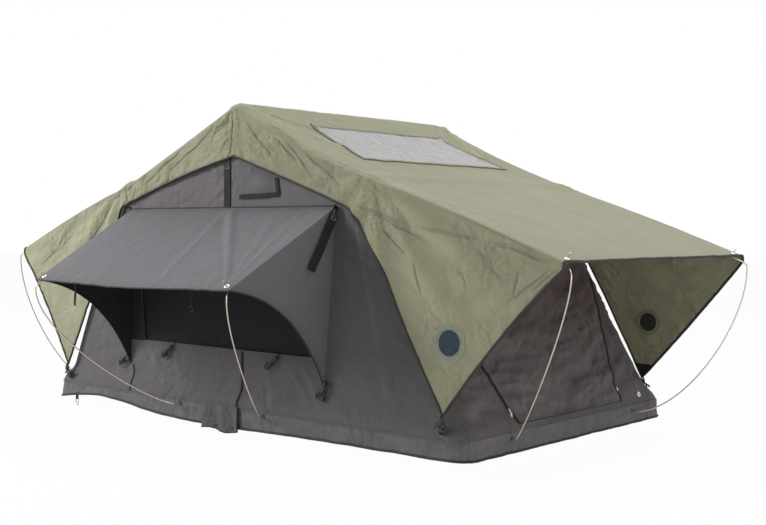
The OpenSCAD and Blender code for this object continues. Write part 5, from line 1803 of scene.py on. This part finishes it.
def hold_downs():
    """Elastic loops from the flaps' tips to tabs on the skirt."""
    for x_side, half, place, tip in HOLD_DOWNS:
        tabs, cords, hooks = [], [], []
        for side in (-1, 1):
            x, high = x_side * place, x_side * tip
            y = side * (SKIRT_Y + HOLD_DOWN_OFF)
            tabs.append(ribbon("tab", drop(x, y, TAB_TOP_Z, TAB_FOOT_Z, 8), (0, side, 0), *TAB_SIZE))
            foot_half, foot_z = LOOP_FOOT
            bends = [(high + a, y, z) for a, z in LOOP_BENDS]
            loop = [(x - foot_half, y, foot_z), *bends, (x + foot_half, y, foot_z)]
            cords.append(tube("cord", smooth_line(loop, 8), CORD_RADIUS))
            for knot in KNOTS:
                line = [(x + a, y + side * b, c) for a, b, c in knot]
                cords.append(tube("cord", smooth_line(line, 8), KNOT_RADIUS))
            for hook_x, (out, z, size, turn) in ((high, TIP_HOOK), (x, SKIRT_HOOK)):
                hooks.append(moulding("hook", (hook_x, y + side * out, z), size, HOOK_BEVEL, turn))
        sew_webbing(join(tabs, half + "_hold_down_tabs"), half, (half + "_hold_downs",))
        dress(smooth(join(cords, half + "_hold_down_loops")), ELASTIC, half)
        dress(smooth(join(hooks, half + "_hold_down_hooks")), PLASTIC, half)


def skirt_ring():
    """A ring on a tab under the skirt's hem, at the fixed end."""
    line = drop(SKIRT_RING_X, SKIRT_RING_Y, *RING_TAB_Z, 8)
    sew_webbing(ribbon("skirt_ring_tab", line, (0, -1, 0), *RING_TAB_SIZE), "fixed")
    loop = ring("skirt_ring", (SKIRT_RING_X, SKIRT_RING_Y, SKIRT_RING_Z), (0.2, 1, 0), *SKIRT_RING)
    dress(smooth(loop), ZINC, "fixed")


def flap_disc(name, side, material, x, z, radius, lift):
    """A plain round patch on a side flap."""
    u, v = np.meshgrid(np.linspace(-1, 1, 27), np.linspace(-1, 1, 27), indexing="ij")
    a, b = radius * u * np.sqrt(1 - v ** 2 / 2), radius * v * np.sqrt(1 - u ** 2 / 2)
    out = FLY_HALF + flap_out(x + a, fly_top(x + a) - z - b, side)[1] + lift
    hem = np.stack([np.arctan2(b, a) * radius, radius - np.hypot(a, b)], -1)
    piece = cloth_grid(name, np.stack([x + a, side * out, z + b], -1), None, hem)
    finish_sheet(piece, material, thick=THIN_CLOTH)


def flap_patches():
    """Plain round patches: one outside the near flap, one inside the far flap."""
    flap_disc("near_patch_rim", -1, PATCH_RIM, *NEAR_RIM_PLACE)
    flap_disc("near_patch", -1, PATCH, *NEAR_PATCH_PLACE)
    flap_disc("far_patch_rim", 1, DARK_RIM, *FAR_RIM_PLACE)
    flap_disc("far_patch", 1, DARK_PATCH, *FAR_PATCH_PLACE)


def tip_patches():
    """Black patches inside the tips of the side flaps."""
    for x_side, half in HALVES:
        for side, word in SIDES:
            x = x_side * (tip_x(x_side) + np.linspace(*TIP_PATCH_SPAN, 22)[:, None])
            up = np.linspace(0, 1, 14)[None]
            hem = fly_hem(x, side) + 0.002
            z = mix(hem, np.maximum(hem + 0.004, TIP_PATCH_TOP_Z), up)
            x = x + 0 * z
            out = FLY_HALF + flap_out(x, fly_top(x) - z, side)[1] - CLOTH - INNER_PATCH_OFF
            points = np.stack([x, side * out, z], -1)[::x_side]
            piece = cloth_grid(f"{half}_{word}_tip_patch", points)
            finish_sheet(piece, WEBBING, thick=PATCH_CLOTH)


def mattresses():
    """Foam mattress halves in a cloth cover, with soft edges."""
    for _, half in HALVES:
        node = half + "_mattress"
        piece = new_object(node + "_cover", frame["nodes"][node].data.copy())
        shape_with(piece, "BEVEL", width=0.008, segments=3, limit_method="ANGLE", angle_limit=0.6)
        places = np.array([v.co for v in piece.data.vertices])
        paint_uv(piece.data, "weave", places[:, :2])
        dress(smooth(piece, 60), COVER, half, (node,))


# Frame finishes
def finish_hardware():
    for material, names in (
        (ALLOY, ["mounting_rails", "fixed_frame", "flip_frame", "fixed_hinge_plates", "flip_hinge_plates"]),
        (ZINC, ["rail_screws", "hinge_pins", "near_door_slider", "far_door_slider"]),
        (PANEL, ["fixed_board", "flip_board"]),
        (PLASTIC, ["hinge_spacers", "fixed_rod_sockets", "flip_rod_sockets"]),
        (PLASTIC, [hoop + "_ends" for hoop in HOOPS]),
        (TUBE, HOOPS),
    ):
        for name in names:
            set_material(frame["nodes"][name], material)


# Studio
def seen_directly(tree):
    """1 for what the camera sees, straight or in a reflection or through a clear sheet, 0 for other light."""
    labels = ["Is Camera Ray", "Is Glossy Ray", "Is Transmission Ray"]
    straight, reflected, through = outputs(tree, "LightPath", {}, labels)
    return straight.at_least(reflected.at_least(through))


def floor():
    """A pale floor that looks white and still takes the tent's shadow."""
    bpy.ops.object.select_all(action="DESELECT")
    bpy.ops.mesh.primitive_plane_add(size=60, location=(0, 0, FLOOR_Z))
    piece = bpy.context.object
    piece.name = "studio_floor"
    material = bpy.data.materials.new("pale floor")
    material.use_nodes = True
    tree = material.node_tree
    surface = tree.nodes["Principled BSDF"]
    plug(surface, {"Base Color": (0.86, 0.86, 0.86, 1), "Roughness": 0.9})
    glow = field(tree, "Emission", {"Color": (1, 1, 1, 1), "Strength": 1.0})
    share = seen_directly(tree) * FLOOR_GLOW
    both = field(tree, "MixShader", {0: share, 1: Field(tree, surface.outputs[0]), 2: glow})
    plug(tree.nodes["Material Output"], {"Surface": both})
    piece.data.materials.append(material)


def backdrop():
    """A white surround that lights the tent only softly."""
    world = bpy.data.worlds.new("studio")
    world.use_nodes = True
    bpy.context.scene.world = world
    tree = world.node_tree
    white = field(tree, "Background", {"Color": (1, 1, 1, 1), "Strength": 1.0})
    ambient = field(tree, "Background", {"Color": (0.96, 0.98, 1, 1), "Strength": 0.30})
    both = field(tree, "MixShader", {0: seen_directly(tree), 1: ambient, 2: white})
    plug(tree.nodes["World Output"], {"Surface": both})


def lights():
    for name, place, target, size, power, colour in LIGHTS:
        lamp = bpy.data.lights.new(name, "AREA")
        lamp.size = size
        lamp.energy = power
        lamp.color = colour
        light = new_object(name, lamp)
        light.location = place
        aim = Vector(target) - Vector(place)
        light.rotation_euler = aim.to_track_quat("-Z", "Y").to_euler()


def camera():
    turn, tilt, roll = (math.radians(v) for v in (CAMERA_AZIMUTH, CAMERA_PITCH, CAMERA_ROLL))
    ahead = Vector((-math.sin(turn) * math.cos(tilt), math.cos(turn) * math.cos(tilt), -math.sin(tilt)))
    right = Vector((math.cos(turn), math.sin(turn), 0))
    up = right.cross(ahead)
    right, up = right * math.cos(roll) + up * math.sin(roll), up * math.cos(roll) - right * math.sin(roll)
    lens = bpy.data.cameras.new("camera")
    lens.sensor_width = 36
    lens.sensor_fit = "HORIZONTAL"
    lens.lens = CAMERA_LENS
    view = new_object("camera", lens)
    turned = Matrix((right, up, -ahead)).transposed().to_4x4()
    turned.translation = CAMERA_PLACE
    view.matrix_world = turned
    bpy.context.scene.camera = view


camera()
floor()
backdrop()
lights()
bpy.context.scene.view_settings.view_transform = "Standard"
finish_hardware()
rain_fly()
skylight()
gable_walls()
windows()
body_shell()
end_panels()
for side, half in HALVES:
    skirt(side, half)
for side, word in SIDES:
    hinge_flap(side, word)
awning()
gusset(-1, "left")
gusset(1, "right")
spring_rods()
gable_straps()
awning_side_strap()
window_shade_strips()
vent()
wall_zip()
toggles()
awning_ties()
eyelets()
hold_downs()
skirt_ring()
flap_patches()
tip_patches()
mattresses()
